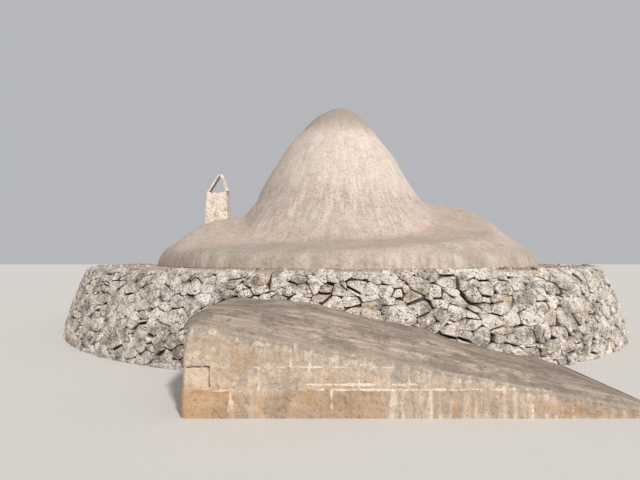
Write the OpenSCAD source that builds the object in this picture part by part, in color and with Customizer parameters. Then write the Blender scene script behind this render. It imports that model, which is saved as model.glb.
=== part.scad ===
// Trullo: a battered dry-stone drum with a terrace, a rendered dome and a bell-shaped cone over
// a corbelled round room, a small chimney at the back left and a ramp of tufa blocks in front.
// Millimetres, +Z up. The origin is on the drum's axis at ground level, and the ramp faces -Y.

/* [Drum] */
// Radius of the dry-stone face at the ground
drum_r = 6320; // [5900:10:6800]
// How far the face leans in from the ground to the terrace edge
drum_batter = 422; // [250:1:600]
// Height of the terrace above the ground
terrace_h = 1370; // [1300:10:1500]
// Depth of the facing wall at the ground
facing_t = 1120; // [1000:10:1250]
// Thickness of the lime screed on the terrace
screed_t = 40; // [25:5:60]

/* [Dome] */
// Radius of the dome's plinth on the terrace
dome_r = 4600; // [4400:10:4800]
// Rise of the dome's flank above the terrace
dome_rise = 1530; // [1400:10:1650]
// Shift of the dome's centre to the right
dome_shift = 120; // [60:5:160]
// Rise of the dome's leaning top above the terrace
crown_rise = 1420; // [1350:10:1500]
// Slope of the dome's top, right side up, in degrees
crown_lean = 2.5; // [0:0.1:3.5]
// Thickness of the lime render on the dome
render_t = 60; // [40:5:80]

/* [Cone] */
// Height of the cone's tip above the ground
cone_top = 5470; // [5300:10:5700]
// Height above the ground that the bell curve runs out towards
bell_foot_h = 1070; // [950:10:1200]
// Spread of the bell curve
bell_spread = 2300; // [2200:10:2400]
// Power of the bell curve: higher makes a blunter tip
bell_power = 2.1; // [1.9:0.05:2.3]
// Height between the outer bell and the stone bell under the render
bell_render_t = 90; // [60:5:120]
// Shift of the cone's axis to the right
cone_shift = -50; // [-120:5:60]

/* [Room] */
// Radius of the round room
room_r = 2300; // [2200:10:2400]
// Height where the corbelled vault springs
spring_h = 1250; // [1200:10:1290]
// Height of the solid stone and render over the vault
tip_h = 720; // [680:10:780]
// Radius left open at the top course
eye_r = 280; // [220:10:340]
// Power of the curve that the corbels follow
corbel_power = 1.25; // [1.1:0.05:1.5]
// Depth of the lower vault rings, from front to back
ring_t = 450; // [400:10:500]
// Thickness of the stone floor
floor_t = 100; // [60:10:140]

/* [Entrance] */
// Clear width of the doorway
door_w = 900; // [800:10:1000]
// Clear height of the doorway above the ground
door_h = 1750; // [1650:10:1850]
// Width of each jamb stone
jamb_w = 170; // [120:10:220]
// Depth of the jamb stones and the lintel
jamb_d = 300; // [250:10:350]
// Thickness of the lintel and of the passage roof slabs
lintel_t = 200; // [150:10:240]
// Distance of the entrance face from the drum's axis
entrance_y = 4750; // [4700:10:4800]
// Width of the masonry round the entrance
portal_w = 2000; // [1800:20:2200]
// Length of that masonry into the dome
portal_d = 1050; // [950:10:1150]
// Height of its top above the ground
portal_h = 2200; // [2150:10:2300]
// Thickness of the threshold stone
threshold_t = 120; // [110:5:160]

/* [Chimney] */
// Distance from the back of the vault rings to the chimney's centre
chimney_out = 560; // [500:10:620]
// Centre of the chimney behind the drum's axis
chimney_y = 600; // [550:10:650]
// Width of the shaft at its foot
shaft_foot_w = 759; // [700:1:800]
// Width of the shaft at its top
shaft_top_w = 605; // [560:5:640]
// Depth of the shaft from front to back
shaft_d = 500; // [440:10:560]
// Height of the shaft's foot, sunk in the dome
shaft_foot_h = 2000; // [1950:10:2050]
// Height of the shaft's top
shaft_top_h = 3330; // [3200:10:3450]
// Thickness of the cheek walls
cheek_t = 100; // [80:5:120]
// Thickness of the front and back infill
infill_t = 90; // [70:5:110]
// Rise of the two leaning cap slabs
cap_rise = 470; // [400:10:540]
// Width of the hearth under the flue
hearth_w = 700; // [600:10:800]
// Height of the hearth's head above the ground
hearth_h = 1000; // [900:10:1100]
// Distance from the flue's centre to the back of the hearth
hearth_back = 190; // [150:10:230]
// Width of the flue inside the dome
flue_w = 300; // [260:10:340]
// Depth of the flue inside the dome
flue_d = 250; // [220:10:280]

/* [Ramp] */
// Left end of the ramp
ramp_left = -1850; // [-2000:10:-1700]
// Point where the ramp runs out at the ground on the right
ramp_toe = 3000; // [2900:10:3200]
// Distance of the ramp's front wall from the drum's axis
ramp_front = 7750; // [7600:10:7900]
// Height of the ramp at its left end, beside the drum
ramp_h = 1010; // [950:10:1100]
// Height of the front wall at its left end
ramp_edge_h = 920; // [860:10:980]
// Thickness of the block walls
block_t = 300; // [250:10:350]
// Height of the larger bottom course
base_course_h = 276; // [240:2:300]
// How far the bottom course stands out
base_course_out = 25; // [10:1:40]
// Fall of the ramp's shoulder towards its front edge, per unit of depth
ramp_shoulder = 0.37; // [0.2:0.01:0.5]
// Thickness of the lime screed on the ramp
ramp_screed_t = 60; // [40:5:80]

/* [Hidden] */
$fn = 360;
big = 9000;
// Heights of the vault's course beds, and the first course of each ring
ring_first = [0, 4, 7, 10, 13, 16, 20];
course_count = ring_first[6];
vault_top = cone_top - tip_h;
course_h = (vault_top - spring_h) / course_count;
bell_depth = cone_top - bell_foot_h;
facing_back_r = drum_r - facing_t;
ring_back_r = room_r + ring_t;
chimney_x = -ring_back_r - chimney_out;
// Where cuts and masses that run into the room begin
inside_r = room_r * 0.65;
ring_split_h = spring_h + ring_first[1] * course_h;
// Levels of the bell's foot below that bed
foot_drop = [250, 125];
// Levels over the vault, closer together where the cone rounds over
tip_drop = [1, 0.7, 0.44, 0.24, 0.1, 0.03];
stone_top = cone_top - bell_render_t;
// The dome's level flank and its leaning top, as parts of its radius and of their rise
flank_outline = [[1, -0.12], [1, 0], [0.9957, 0.0752], [0.9848, 0.1536], [0.9609, 0.2301],
    [0.925, 0.3137], [0.8717, 0.4314], [0.8087, 0.5817], [0.75, 0.7222], [0.7011, 0.8235],
    [0.6315, 0.9281], [0.562, 0.9804], [0.5, 1]];
crown_outline = [[1, 0.25], [0.9022, 0.493], [0.8043, 0.6901], [0.7413, 0.8049], [0.6717, 0.8838],
    [0.6109, 0.9331], [0.563, 0.9613], [0.5217, 0.9789], [0.4783, 0.993], [0.4348, 1]];
// Fall of the dome's top to its front ledge, back to front, as parts of its radius and of its rise
front_outline = [[0.2174, 1.5], [0, 1.1127], [-0.3043, 0.662], [-0.413, 0.5141], [-0.5217, 0.412],
    [-0.6413, 0.3627], [-0.9674, 0.2324], [-1.9565, -0.1549]];
// Height of the ramp beside the drum, as parts of its length and of its height
ramp_line = [[0, 1], [0.186, 0.97], [0.278, 0.921], [0.413, 0.762], [0.555, 0.624],
    [0.643, 0.46], [0.788, 0.277], [0.911, 0.149], [1, 0]];
stone = [0.72, 0.7, 0.66];
lime = [0.66, 0.61, 0.54];
tufa = [0.72, 0.6, 0.45];
cut_w = door_w + 2 * jamb_w;
shaft_slope = (shaft_foot_w - shaft_top_w) / 2 / (shaft_top_h - shaft_foot_h);

// Radius of the drum's face at a height
function face_r(z) = drum_r - drum_batter * pow(z / terrace_h, 1.5);
// Radius of the cone's render at a height
function bell_r(z) = z >= cone_top ? 0 :
    bell_spread * pow(-ln(1 - (cone_top - z) / bell_depth), 1 / bell_power);
// Radius of the stone bell under the render at a height
function stone_r(z) = bell_r(z + bell_render_t);
// Radius of the room's corbelled face at a course
function corbel_r(i) = eye_r + (room_r - eye_r) * (1 - pow(i / course_count, corbel_power));
function bed_h(i) = spring_h + i * course_h;
// Heights from the split ring up to the tip of the outer bell, or of the stone bell
function tip_levels(top) = [for (d = tip_drop) top - d * (cone_top - vault_top)];
// An outline at full size, its direction at a point, and the same outline set in by a thickness
function full(line, rise) = [for (p = line) [p[0] * dome_r, p[1] * rise]];
function dir(pts, i) = pts[min(i + 1, len(pts) - 1)] - pts[max(i - 1, 0)];
function set_in(pts, t) = [for (i = [0 : len(pts) - 1])
    pts[i] - t / norm(dir(pts, i)) * [dir(pts, i)[1], -dir(pts, i)[0]]];

module sector(from, to) {
    linear_extrude(height = big)
        polygon([[0, 0], big * [cos(from), sin(from)],
            1.3 * big * [cos((from + to) / 2), sin((from + to) / 2)], big * [cos(to), sin(to)]]);
}

module box(lo, hi) {
    translate(lo) cube(hi - lo);
}

// The open way in: the cutting through the terrace, the doorway and the passage to the room
module cutting() {
    box([-cut_w / 2, entrance_y, -10], [cut_w / 2, big, terrace_h + 500]);
}

module passage() {
    box([-door_w / 2, room_r / 2, -10], [door_w / 2, entrance_y + 10, door_h]);
}

module roof_slot() {
    box([-cut_w / 2, room_r / 2, door_h], [cut_w / 2, entrance_y + 10, door_h + lintel_t]);
}

// The passage and its roof slabs together, as they run through the haunch behind the portal
module passage_bore() {
    translate([0, entrance_y - portal_d + 20, 0]) rotate([90, 0, 0])
        linear_extrude(height = entrance_y - portal_d - room_r / 2)
            polygon([[-door_w / 2, 0], [door_w / 2, 0], [door_w / 2, door_h], [cut_w / 2, door_h],
                [cut_w / 2, door_h + lintel_t], [-cut_w / 2, door_h + lintel_t],
                [-cut_w / 2, door_h], [-door_w / 2, door_h]]);
}

module jamb_slot() {
    box([-cut_w / 2, entrance_y - jamb_d, -10], [cut_w / 2, entrance_y + 10, door_h]);
}

module portal_block(top) {
    box([-portal_w / 2, entrance_y - portal_d, terrace_h], [portal_w / 2, entrance_y, top]);
}

// The hearth in the room's left wall and the flue above it
module hearth() {
    translate([0, chimney_y, 0]) {
        box([chimney_x - hearth_back, -hearth_w / 2, floor_t], [-inside_r, hearth_w / 2, hearth_h]);
        box([chimney_x - flue_w / 2, -flue_d / 2, hearth_h - 10],
            [chimney_x + flue_w / 2, flue_d / 2, shaft_foot_h + 10]);
    }
}

// Drum: one length of the dry-stone facing, with its rounded arris and a rebate for the screed
module drum_profile() {
    arris_r = face_r(terrace_h - 70);
    polygon(concat([[facing_back_r, 0]],
        [for (k = [0 : 5]) [face_r(k / 5 * (terrace_h - 70)), k / 5 * (terrace_h - 70)]],
        [[arris_r - 30, terrace_h - 25], [arris_r - 80, terrace_h],
        [arris_r - 130, terrace_h], [arris_r - 130, terrace_h - screed_t],
        [facing_back_r, terrace_h - screed_t]]));
}

module drum_wall(from) {
    rotate([0, 0, from]) rotate_extrude(angle = 45) drum_profile();
}

module cut_drum_wall(from) {
    difference() {
        drum_wall(from);
        cutting();
    }
}

// Core: the stone mass between the facing and the room, cut by the passage and the hearth
module core(from, to) {
    difference() {
        rotate([0, 0, from]) rotate_extrude(angle = to - from)
            polygon([[inside_r, 0], [facing_back_r, 0], [facing_back_r, terrace_h - screed_t],
                [dome_r - 300, terrace_h - screed_t], [dome_r - 300, terrace_h], [inside_r, terrace_h]]);
        translate([cone_shift, 0, -10]) cylinder(r = room_r, h = terrace_h);
        translate([cone_shift, 0, spring_h]) cylinder(r = ring_back_r, h = terrace_h);
    }
}

module core_at_door(from, to) {
    difference() {
        core(from, to);
        cutting();
        jamb_slot();
        passage();
    }
}

// Vault: a ring of corbelled courses, each bed a step further in than the one below it
module vault_ring(k) {
    first = ring_first[k];
    last = ring_first[k + 1];
    inner = [for (i = [first : last - 1]) for (s = [0, 1]) [corbel_r(i), bed_h(i + s)]];
    outer = k < 1 ? [[ring_back_r, bed_h(last)], [ring_back_r, bed_h(first)]]
        : [for (i = [last : -1 : first]) [stone_r(bed_h(i)), bed_h(i)]];
    translate([cone_shift, 0, 0]) rotate([0, 0, -30]) rotate_extrude() polygon(concat(inner, outer));
}

// A ring that the passage and its roof slabs may run into
module vault_ring_at_door(k) {
    difference() {
        vault_ring(k);
        if (door_h + lintel_t > bed_h(ring_first[k]) + 1) {
            passage();
            roof_slot();
        }
    }
}

// The outside of the vault and of the stone cone, as one solid of revolution or a part of it
module stone_bell(from = -30, sweep = 360) {
    translate([cone_shift, 0, 0]) rotate([0, 0, from]) rotate_extrude(angle = sweep)
        polygon(concat([[0, spring_h], [ring_back_r, spring_h], [ring_back_r, ring_split_h]],
            [for (i = [ring_first[1] : course_count]) [stone_r(bed_h(i)), bed_h(i)]],
            [for (z = tip_levels(stone_top)) if (z > vault_top + 40) [stone_r(z), z]],
            [[0, stone_top]]));
}

module cone_cap() {
    color(stone) translate([cone_shift, 0, 0]) rotate([0, 0, -30]) rotate_extrude()
        polygon(concat([[0, vault_top], [stone_r(vault_top), vault_top]],
            [for (z = tip_levels(stone_top)) if (z > vault_top + 40) [stone_r(z), z]],
            [[0, stone_top]]));
}

// Dome: the low rendered shoulder round the cone, a level flank cut by a top that leans and that
// falls to a ledge in front
module swept(pts, from, sweep, hole_r) {
    rotate([0, 0, from]) rotate_extrude(angle = sweep)
        polygon(concat([[hole_r, pts[0][1]]], pts, [[hole_r, pts[len(pts) - 1][1]]]));
}

module front_fall(t) {
    rotate([90, 0, 90]) translate([0, 0, -big]) linear_extrude(height = 2 * big)
        polygon(concat([[big, -big], [big, big]], set_in(full(front_outline, crown_rise), t),
            [[-big, -big]]));
}

module dome_solid(t, from = 30, sweep = 360, hole_r = 0) {
    intersection() {
        translate([dome_shift, 0, terrace_h])
            swept(set_in(full(flank_outline, dome_rise), t), from, sweep, hole_r);
        translate([0, 0, terrace_h]) rotate([0, -crown_lean, 0])
            swept(set_in(concat([[dome_r + 300, -terrace_h / 2]], full(crown_outline, crown_rise)), t),
                from, sweep, hole_r);
        translate([0, 0, terrace_h]) rotate([0, -crown_lean, 0]) front_fall(t);
    }
}

module above_terrace() {
    translate([-big, -big, terrace_h]) cube([2 * big, 2 * big, big]);
}

// Haunch: one sector of the stone under the dome's render, swept a little past both its ends
module haunch(from, to) {
    past = 8;
    difference() {
        intersection() {
            dome_solid(render_t, from - past, to - from + 2 * past, ring_back_r / 2);
            above_terrace();
            sector(from, to);
        }
        stone_bell(from - past, to - from + 2 * past);
    }
}

module chimney_outline() {
    h = shaft_top_h - shaft_foot_h;
    translate([chimney_x, chimney_y + shaft_d / 2, shaft_foot_h]) rotate([90, 0, 0])
        linear_extrude(height = shaft_d)
            polygon([[-shaft_foot_w / 2, 0], [shaft_foot_w / 2, 0], [shaft_top_w / 2, h],
                [-shaft_top_w / 2, h]]);
}

module cone_render() {
    color(lime) difference() {
        translate([cone_shift, 0, 0]) rotate([0, 0, -30]) rotate_extrude()
            polygon(concat(
                [for (d = foot_drop) [bell_r(ring_split_h - d), ring_split_h - d]],
                [for (i = [ring_first[1] : course_count]) [bell_r(bed_h(i)), bed_h(i)]],
                [for (z = tip_levels(cone_top)) if (z > vault_top + 40) [bell_r(z), z]],
                [[0, cone_top], [0, stone_top]],
                [for (j = [len(tip_drop) - 1 : -1 : 0]) let (z = tip_levels(stone_top)[j])
                    if (z > vault_top + 40) [stone_r(z), z]],
                [for (i = [course_count : -1 : ring_first[1]]) [stone_r(bed_h(i)), bed_h(i)]],
                [[ring_back_r, ring_split_h], [ring_back_r, ring_split_h - foot_drop[0]]]));
        dome_solid(0);
    }
}

module dome_render() {
    color(lime) difference() {
        intersection() {
            dome_solid(0);
            above_terrace();
        }
        dome_solid(render_t);
        stone_bell();
        chimney_outline();
        portal_block(big);
    }
}

module terrace_screed() {
    color(lime) difference() {
        rotate_extrude()
            polygon([[dome_r - 300, terrace_h - screed_t], [face_r(terrace_h - 70) - 130, terrace_h - screed_t],
                [face_r(terrace_h - 70) - 130, terrace_h], [dome_r - 300, terrace_h]]);
        cutting();
        jamb_slot();
        passage();
    }
}

module room_floor() {
    color(stone) union() {
        translate([cone_shift, 0, 0]) cylinder(r = room_r, h = floor_t);
        box([-door_w / 2, room_r / 2, 0], [door_w / 2, entrance_y - jamb_d, floor_t]);
    }
}

module jamb(side) {
    box([side < 0 ? -cut_w / 2 : door_w / 2, entrance_y - jamb_d, 0],
        [side < 0 ? -door_w / 2 : cut_w / 2, entrance_y, door_h]);
}

module passage_roof() {
    color(stone) intersection() {
        box([-cut_w / 2, room_r / 2, door_h], [cut_w / 2, entrance_y - jamb_d, door_h + lintel_t]);
        difference() {
            cylinder(r = big, h = big);
            translate([cone_shift, 0, 0]) cylinder(r = corbel_r(3), h = big);
        }
    }
}

module portal_wall() {
    color(lime) difference() {
        portal_block(portal_h);
        jamb_slot();
        passage();
        roof_slot();
    }
}

// Chimney: side and infill outlines are drawn from the front, then given their depth
module upright(pts, from, to) {
    translate([chimney_x, chimney_y + to, 0]) rotate([90, 0, 0]) linear_extrude(height = to - from)
        polygon(pts);
}

module chimney_cheek(side) {
    upright([[side * shaft_foot_w / 2, shaft_foot_h], [side * shaft_top_w / 2, shaft_top_h],
        [side * (shaft_top_w / 2 - cheek_t), shaft_top_h],
        [side * (shaft_foot_w / 2 - cheek_t), shaft_foot_h]], -shaft_d / 2, shaft_d / 2);
}

module chimney_infill(from, tops) {
    half_foot = shaft_foot_w / 2 - cheek_t;
    half_top = shaft_top_w / 2 - cheek_t;
    n = len(tops) - 1;
    upright(concat([[-half_foot, shaft_foot_h], [half_foot, shaft_foot_h]],
        [for (i = [0 : n]) let (z = shaft_top_h - tops[i])
            [(1 - 2 * i / n) * (half_top + (i == 0 || i == n ? tops[i] * shaft_slope : 0)), z]]),
        from, from + infill_t);
}

module chimney_cap(side) {
    half = shaft_top_w / 2;
    meet = 19;
    foot = side < 0 ? 85 : 98;
    crown = side < 0 ? -38 : 87;
    upright([[side * half, shaft_top_h], [side * (half - foot), shaft_top_h],
        [meet, shaft_top_h + cap_rise * 0.87], [meet, shaft_top_h + cap_rise],
        [crown, shaft_top_h + cap_rise - (side < 0 ? 0 : 12)]], -shaft_d / 2 + 15, shaft_d / 2 - 15);
}

// Ramp: its whole form falls to the right, with a shoulder that falls to the front edge as well
module ramp_form(down, out) {
    length = ramp_toe - ramp_left;
    depth = ramp_front - facing_back_r;
    fall = (ramp_edge_h - 25) / length;
    steep = ramp_shoulder / sqrt(1 + fall * fall + ramp_shoulder * ramp_shoulder);
    intersection() {
        translate([0, depth - ramp_front, 0]) rotate([90, 0, 0])
            linear_extrude(height = depth + out)
                polygon(concat([[ramp_toe, 0], [ramp_left - out, 0], [ramp_left - out, ramp_h - down]],
                    [for (p = ramp_line) [ramp_left + p[0] * length, max(p[1] * ramp_h - down, 5)]]));
        translate([ramp_left, -ramp_front, ramp_edge_h - down])
            rotate([asin(steep), atan(fall), 0]) translate([-big, -big, -big]) cube([2 * big, 2 * big, big]);
    }
}

// The drum as a solid mass, for the ramp to be fitted against its leaning face
module drum_mass() {
    rotate_extrude()
        polygon(concat([[0, 0]],
            [for (k = [0 : 5]) [face_r(k / 5 * (terrace_h - 70)), k / 5 * (terrace_h - 70)]],
            [[0, terrace_h - 70]]));
}

module ramp_part(out) {
    difference() {
        ramp_form(ramp_screed_t, out);
        drum_mass();
    }
}

module front_strip(out, lo, hi) {
    box([ramp_left - out, -ramp_front - out, lo], [ramp_toe, -ramp_front + block_t, hi]);
}

module end_strip(out, lo, hi) {
    box([ramp_left - out, -ramp_front + block_t, lo], [ramp_left + block_t, -face_r(terrace_h) * 0.8, hi]);
}

module drum_wall_back_left() color(stone) cut_drum_wall(90);

module drum_wall_left_back() color(stone) drum_wall(135);

module drum_wall_left_front() color(stone) drum_wall(180);

module drum_wall_front_left() color(stone) drum_wall(225);

module drum_wall_front_right() color(stone) drum_wall(270);

module drum_wall_right_front() color(stone) drum_wall(315);

module drum_wall_right_back() color(stone) drum_wall(0);

module drum_wall_back_right() color(stone) cut_drum_wall(45);

module core_left() {
    color(stone) difference() {
        core(135, 225);
        hearth();
    }
}

module core_front() color(stone) core(225, 315);

module core_right() color(stone) core(315, 405);

module core_back_left() color(stone) core_at_door(90, 135);

module core_back_right() color(stone) core_at_door(45, 90);

module vault_ring_1() color(stone) vault_ring_at_door(0);

module vault_ring_2() color(stone) vault_ring_at_door(1);

module vault_ring_3() color(stone) vault_ring(2);

module vault_ring_4() color(stone) vault_ring(3);

module vault_ring_5() color(stone) vault_ring(4);

module vault_ring_6() color(stone) vault_ring(5);

module haunch_left() {
    color(stone) difference() {
        haunch(135, 225);
        chimney_outline();
        hearth();
    }
}

module haunch_front() color(stone) haunch(225, 315);

module haunch_right() color(stone) haunch(315, 405);

module haunch_back() {
    color(stone) difference() {
        haunch(45, 135);
        box([-portal_w / 2, entrance_y - portal_d, 0], [portal_w / 2, big, big]);
        passage_bore();
    }
}

module threshold() {
    color(stone) box([-door_w / 2, entrance_y - jamb_d, 0], [door_w / 2, entrance_y, threshold_t]);
}

module jamb_left() color(tufa) jamb(-1);

module jamb_right() color(tufa) jamb(1);

module lintel() {
    color(tufa) box([-cut_w / 2, entrance_y - jamb_d, door_h], [cut_w / 2, entrance_y, door_h + lintel_t]);
}

module chimney_front() color(lime) chimney_infill(-shaft_d / 2, [30, 12, 44, 20, 52, 34]);

module chimney_back() color(lime) chimney_infill(shaft_d / 2 - infill_t, [40, 22, 30, 58, 26, 36]);

module chimney_cheek_left() color(lime) chimney_cheek(-1);

module chimney_cheek_right() color(lime) chimney_cheek(1);

module chimney_cap_left() color(lime) chimney_cap(-1);

module chimney_cap_right() color(lime) chimney_cap(1);

module ramp_base_course() {
    color(tufa) intersection() {
        ramp_part(base_course_out);
        union() {
            front_strip(base_course_out, 0, base_course_h);
            end_strip(base_course_out, 0, base_course_h);
        }
    }
}

module ramp_front_wall() {
    color(tufa) intersection() {
        ramp_part(0);
        front_strip(0, base_course_h, big);
    }
}

module ramp_end_wall() {
    color(tufa) intersection() {
        ramp_part(0);
        end_strip(0, base_course_h, big);
    }
}

module ramp_fill() {
    color(stone) difference() {
        ramp_part(0);
        front_strip(100, -10, big);
        end_strip(100, -10, big);
    }
}

module ramp_screed() {
    color(lime) difference() {
        ramp_form(0, 0);
        ramp_form(ramp_screed_t, 0);
        drum_mass();
    }
}

drum_wall_back_left();
drum_wall_left_back();
drum_wall_left_front();
drum_wall_front_left();
drum_wall_front_right();
drum_wall_right_front();
drum_wall_right_back();
drum_wall_back_right();
core_left();
core_front();
core_right();
core_back_left();
core_back_right();
vault_ring_1();
vault_ring_2();
vault_ring_3();
vault_ring_4();
vault_ring_5();
vault_ring_6();
cone_cap();
haunch_left();
haunch_front();
haunch_right();
haunch_back();
cone_render();
dome_render();
terrace_screed();
room_floor();
threshold();
jamb_left();
jamb_right();
lintel();
passage_roof();
portal_wall();
chimney_front();
chimney_back();
chimney_cheek_left();
chimney_cheek_right();
chimney_cap_left();
chimney_cap_right();
ramp_base_course();
ramp_front_wall();
ramp_end_wall();
ramp_fill();
ramp_screed();
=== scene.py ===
"""The look of a dry-stone trullo: rubble drum, rendered dome and bell cone, chimney and block ramp.

Metres, +Z up. The origin is on the drum's axis at ground level and the ramp faces -Y.
"""

from __future__ import annotations

import logging
import math
from collections.abc import Callable, Sequence
from dataclasses import dataclass, field
from enum import Enum

import bpy
import numpy as np
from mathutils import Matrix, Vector
from mathutils.bvhtree import BVHTree


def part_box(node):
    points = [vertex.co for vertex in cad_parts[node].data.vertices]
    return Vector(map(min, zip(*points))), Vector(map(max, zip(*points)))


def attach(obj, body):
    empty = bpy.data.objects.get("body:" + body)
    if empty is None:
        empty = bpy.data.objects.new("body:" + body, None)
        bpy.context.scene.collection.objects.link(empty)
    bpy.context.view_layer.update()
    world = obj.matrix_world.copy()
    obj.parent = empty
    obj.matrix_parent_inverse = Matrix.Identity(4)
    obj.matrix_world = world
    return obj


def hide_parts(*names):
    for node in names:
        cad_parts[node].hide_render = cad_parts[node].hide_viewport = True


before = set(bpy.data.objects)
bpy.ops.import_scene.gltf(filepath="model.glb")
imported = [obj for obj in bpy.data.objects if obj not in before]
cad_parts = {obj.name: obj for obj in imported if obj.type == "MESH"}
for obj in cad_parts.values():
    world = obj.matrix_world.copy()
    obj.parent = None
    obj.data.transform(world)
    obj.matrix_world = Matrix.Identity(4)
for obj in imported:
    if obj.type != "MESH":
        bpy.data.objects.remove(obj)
LOG = logging.getLogger("trullo")
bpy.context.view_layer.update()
BODY = "root"
Colour = tuple[float, float, float]
Socket = bpy.types.NodeSocket
Feed = Socket | float
Values = np.ndarray | float
Outline = tuple[tuple[float, float], ...]
Corner = tuple[float, float, float]


class Slot(Enum):
    """The record's material slots."""

    DRY_STONE = "dry_stone"
    VAULT = "vault_stone"
    RENDER = "lime_render"
    SCREED = "lime_screed"
    FLOOR = "floor_stone"
    TUFA = "tufa_blocks"
    PLASTER = "pale_plaster"


# ---------------------------------------------------------------- small tools


class Noise:
    """Smooth random values in space, the same on each run for the same seed."""

    size = 8192
    primes = np.array([73856093, 19349663, 83492791])

    def __init__(self, seed: int) -> None:
        """Fill the table of values.

        Args:
            seed: Number that fixes the values.
        """
        self.table = np.random.default_rng(seed).random(self.size) * 2.0 - 1.0

    def value(self, points: np.ndarray) -> np.ndarray:
        """Blend the values of the eight lattice corners round each point.

        Args:
            points: Places, with their three parts on the last axis.

        Returns:
            One value from -1 to 1 for each place.
        """
        cell = np.floor(points).astype(np.int64)
        part = points - cell
        part = part * part * (3.0 - 2.0 * part)
        total = np.zeros(points.shape[:-1])
        for corner in range(8):
            step = np.array([corner & 1, corner >> 1 & 1, corner >> 2 & 1])
            key = np.bitwise_xor.reduce((cell + step) * self.primes, axis=-1)
            share = np.prod(np.where(step, part, 1.0 - part), axis=-1)
            total += share * self.table[key & (self.size - 1)]
        return total

    def layered(self, points: np.ndarray, size: float, layers: int = 3) -> np.ndarray:
        """Add ever finer layers of the noise.

        Args:
            points: Places, with their three parts on the last axis.
            size: Width of the largest lumps.
            layers: How many layers are added.

        Returns:
            One value for each place, mostly from -1 to 1.
        """
        shift = 17.31
        total = np.zeros(points.shape[:-1])
        for k in range(layers):
            total += 0.5**k * self.value(points * (2.0**k / size) + shift * k)
        return total / (2.0 - 0.5 ** (layers - 1))


def rise(value: Values, start: Values, width: Values) -> Values:
    """Go from 0 to 1 over a width past a start, or down to it where the width is negative."""
    return np.clip((value - start) / width, 0.0, 1.0)


def unit(value: Values) -> Values:
    """Keep values from 0 to 1."""
    return np.clip(value, 0.0, 1.0)


def stripe(off: Values, half: Values, core: float) -> Values:
    """Give a stripe that fades out with the distance from its middle, with a full core."""
    return np.clip(core - np.abs(off) / half, 0.0, 1.0)


def hump(off: Values, width: Values) -> Values:
    """Give a soft stripe round a middle."""
    return np.exp(-((off / width) ** 2))


def joined(*parts: Values) -> np.ndarray:
    """Set values side by side on the last axis of one array."""
    return np.stack(np.broadcast_arrays(*parts), -1)


def polar(r: Values, angle: Values, up: Values) -> np.ndarray:
    """Give places from their radius, angle and height."""
    return joined(r * np.cos(angle), r * np.sin(angle), up)


def grid_faces(across: int, along: int, wrap: bool = False) -> np.ndarray:
    """Number the corners of a grid's four-sided faces.

    Args:
        across: Points in a row.
        along: Rows.
        wrap: Whether each row's last point joins its first.

    Returns:
        One row of four point numbers a face.
    """
    i, j = np.meshgrid(np.arange(across if wrap else across - 1), np.arange(along - 1))
    i, j = i.ravel(), j.ravel()
    k = (i + 1) % across
    return np.stack([j * across + i, j * across + k, (j + 1) * across + k, (j + 1) * across + i], 1)


def grid_border(across: int, along: int) -> np.ndarray:
    """Number the points round a grid's edge.

    Args:
        across: Points in a row.
        along: Rows.

    Returns:
        The numbers in order, without the first one again at the end.
    """
    return np.concatenate([
        np.arange(across),
        np.arange(1, along) * across + across - 1,
        (along - 1) * across + np.arange(across - 2, -1, -1),
        np.arange(along - 2, 0, -1) * across,
    ])


def read(mesh: bpy.types.Mesh, part: str = "co") -> np.ndarray:
    """Read three values for each point of a mesh."""
    values = np.empty(len(mesh.vertices) * 3, np.float32)
    mesh.vertices.foreach_get(part, values)
    return values.reshape(-1, 3)


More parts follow.
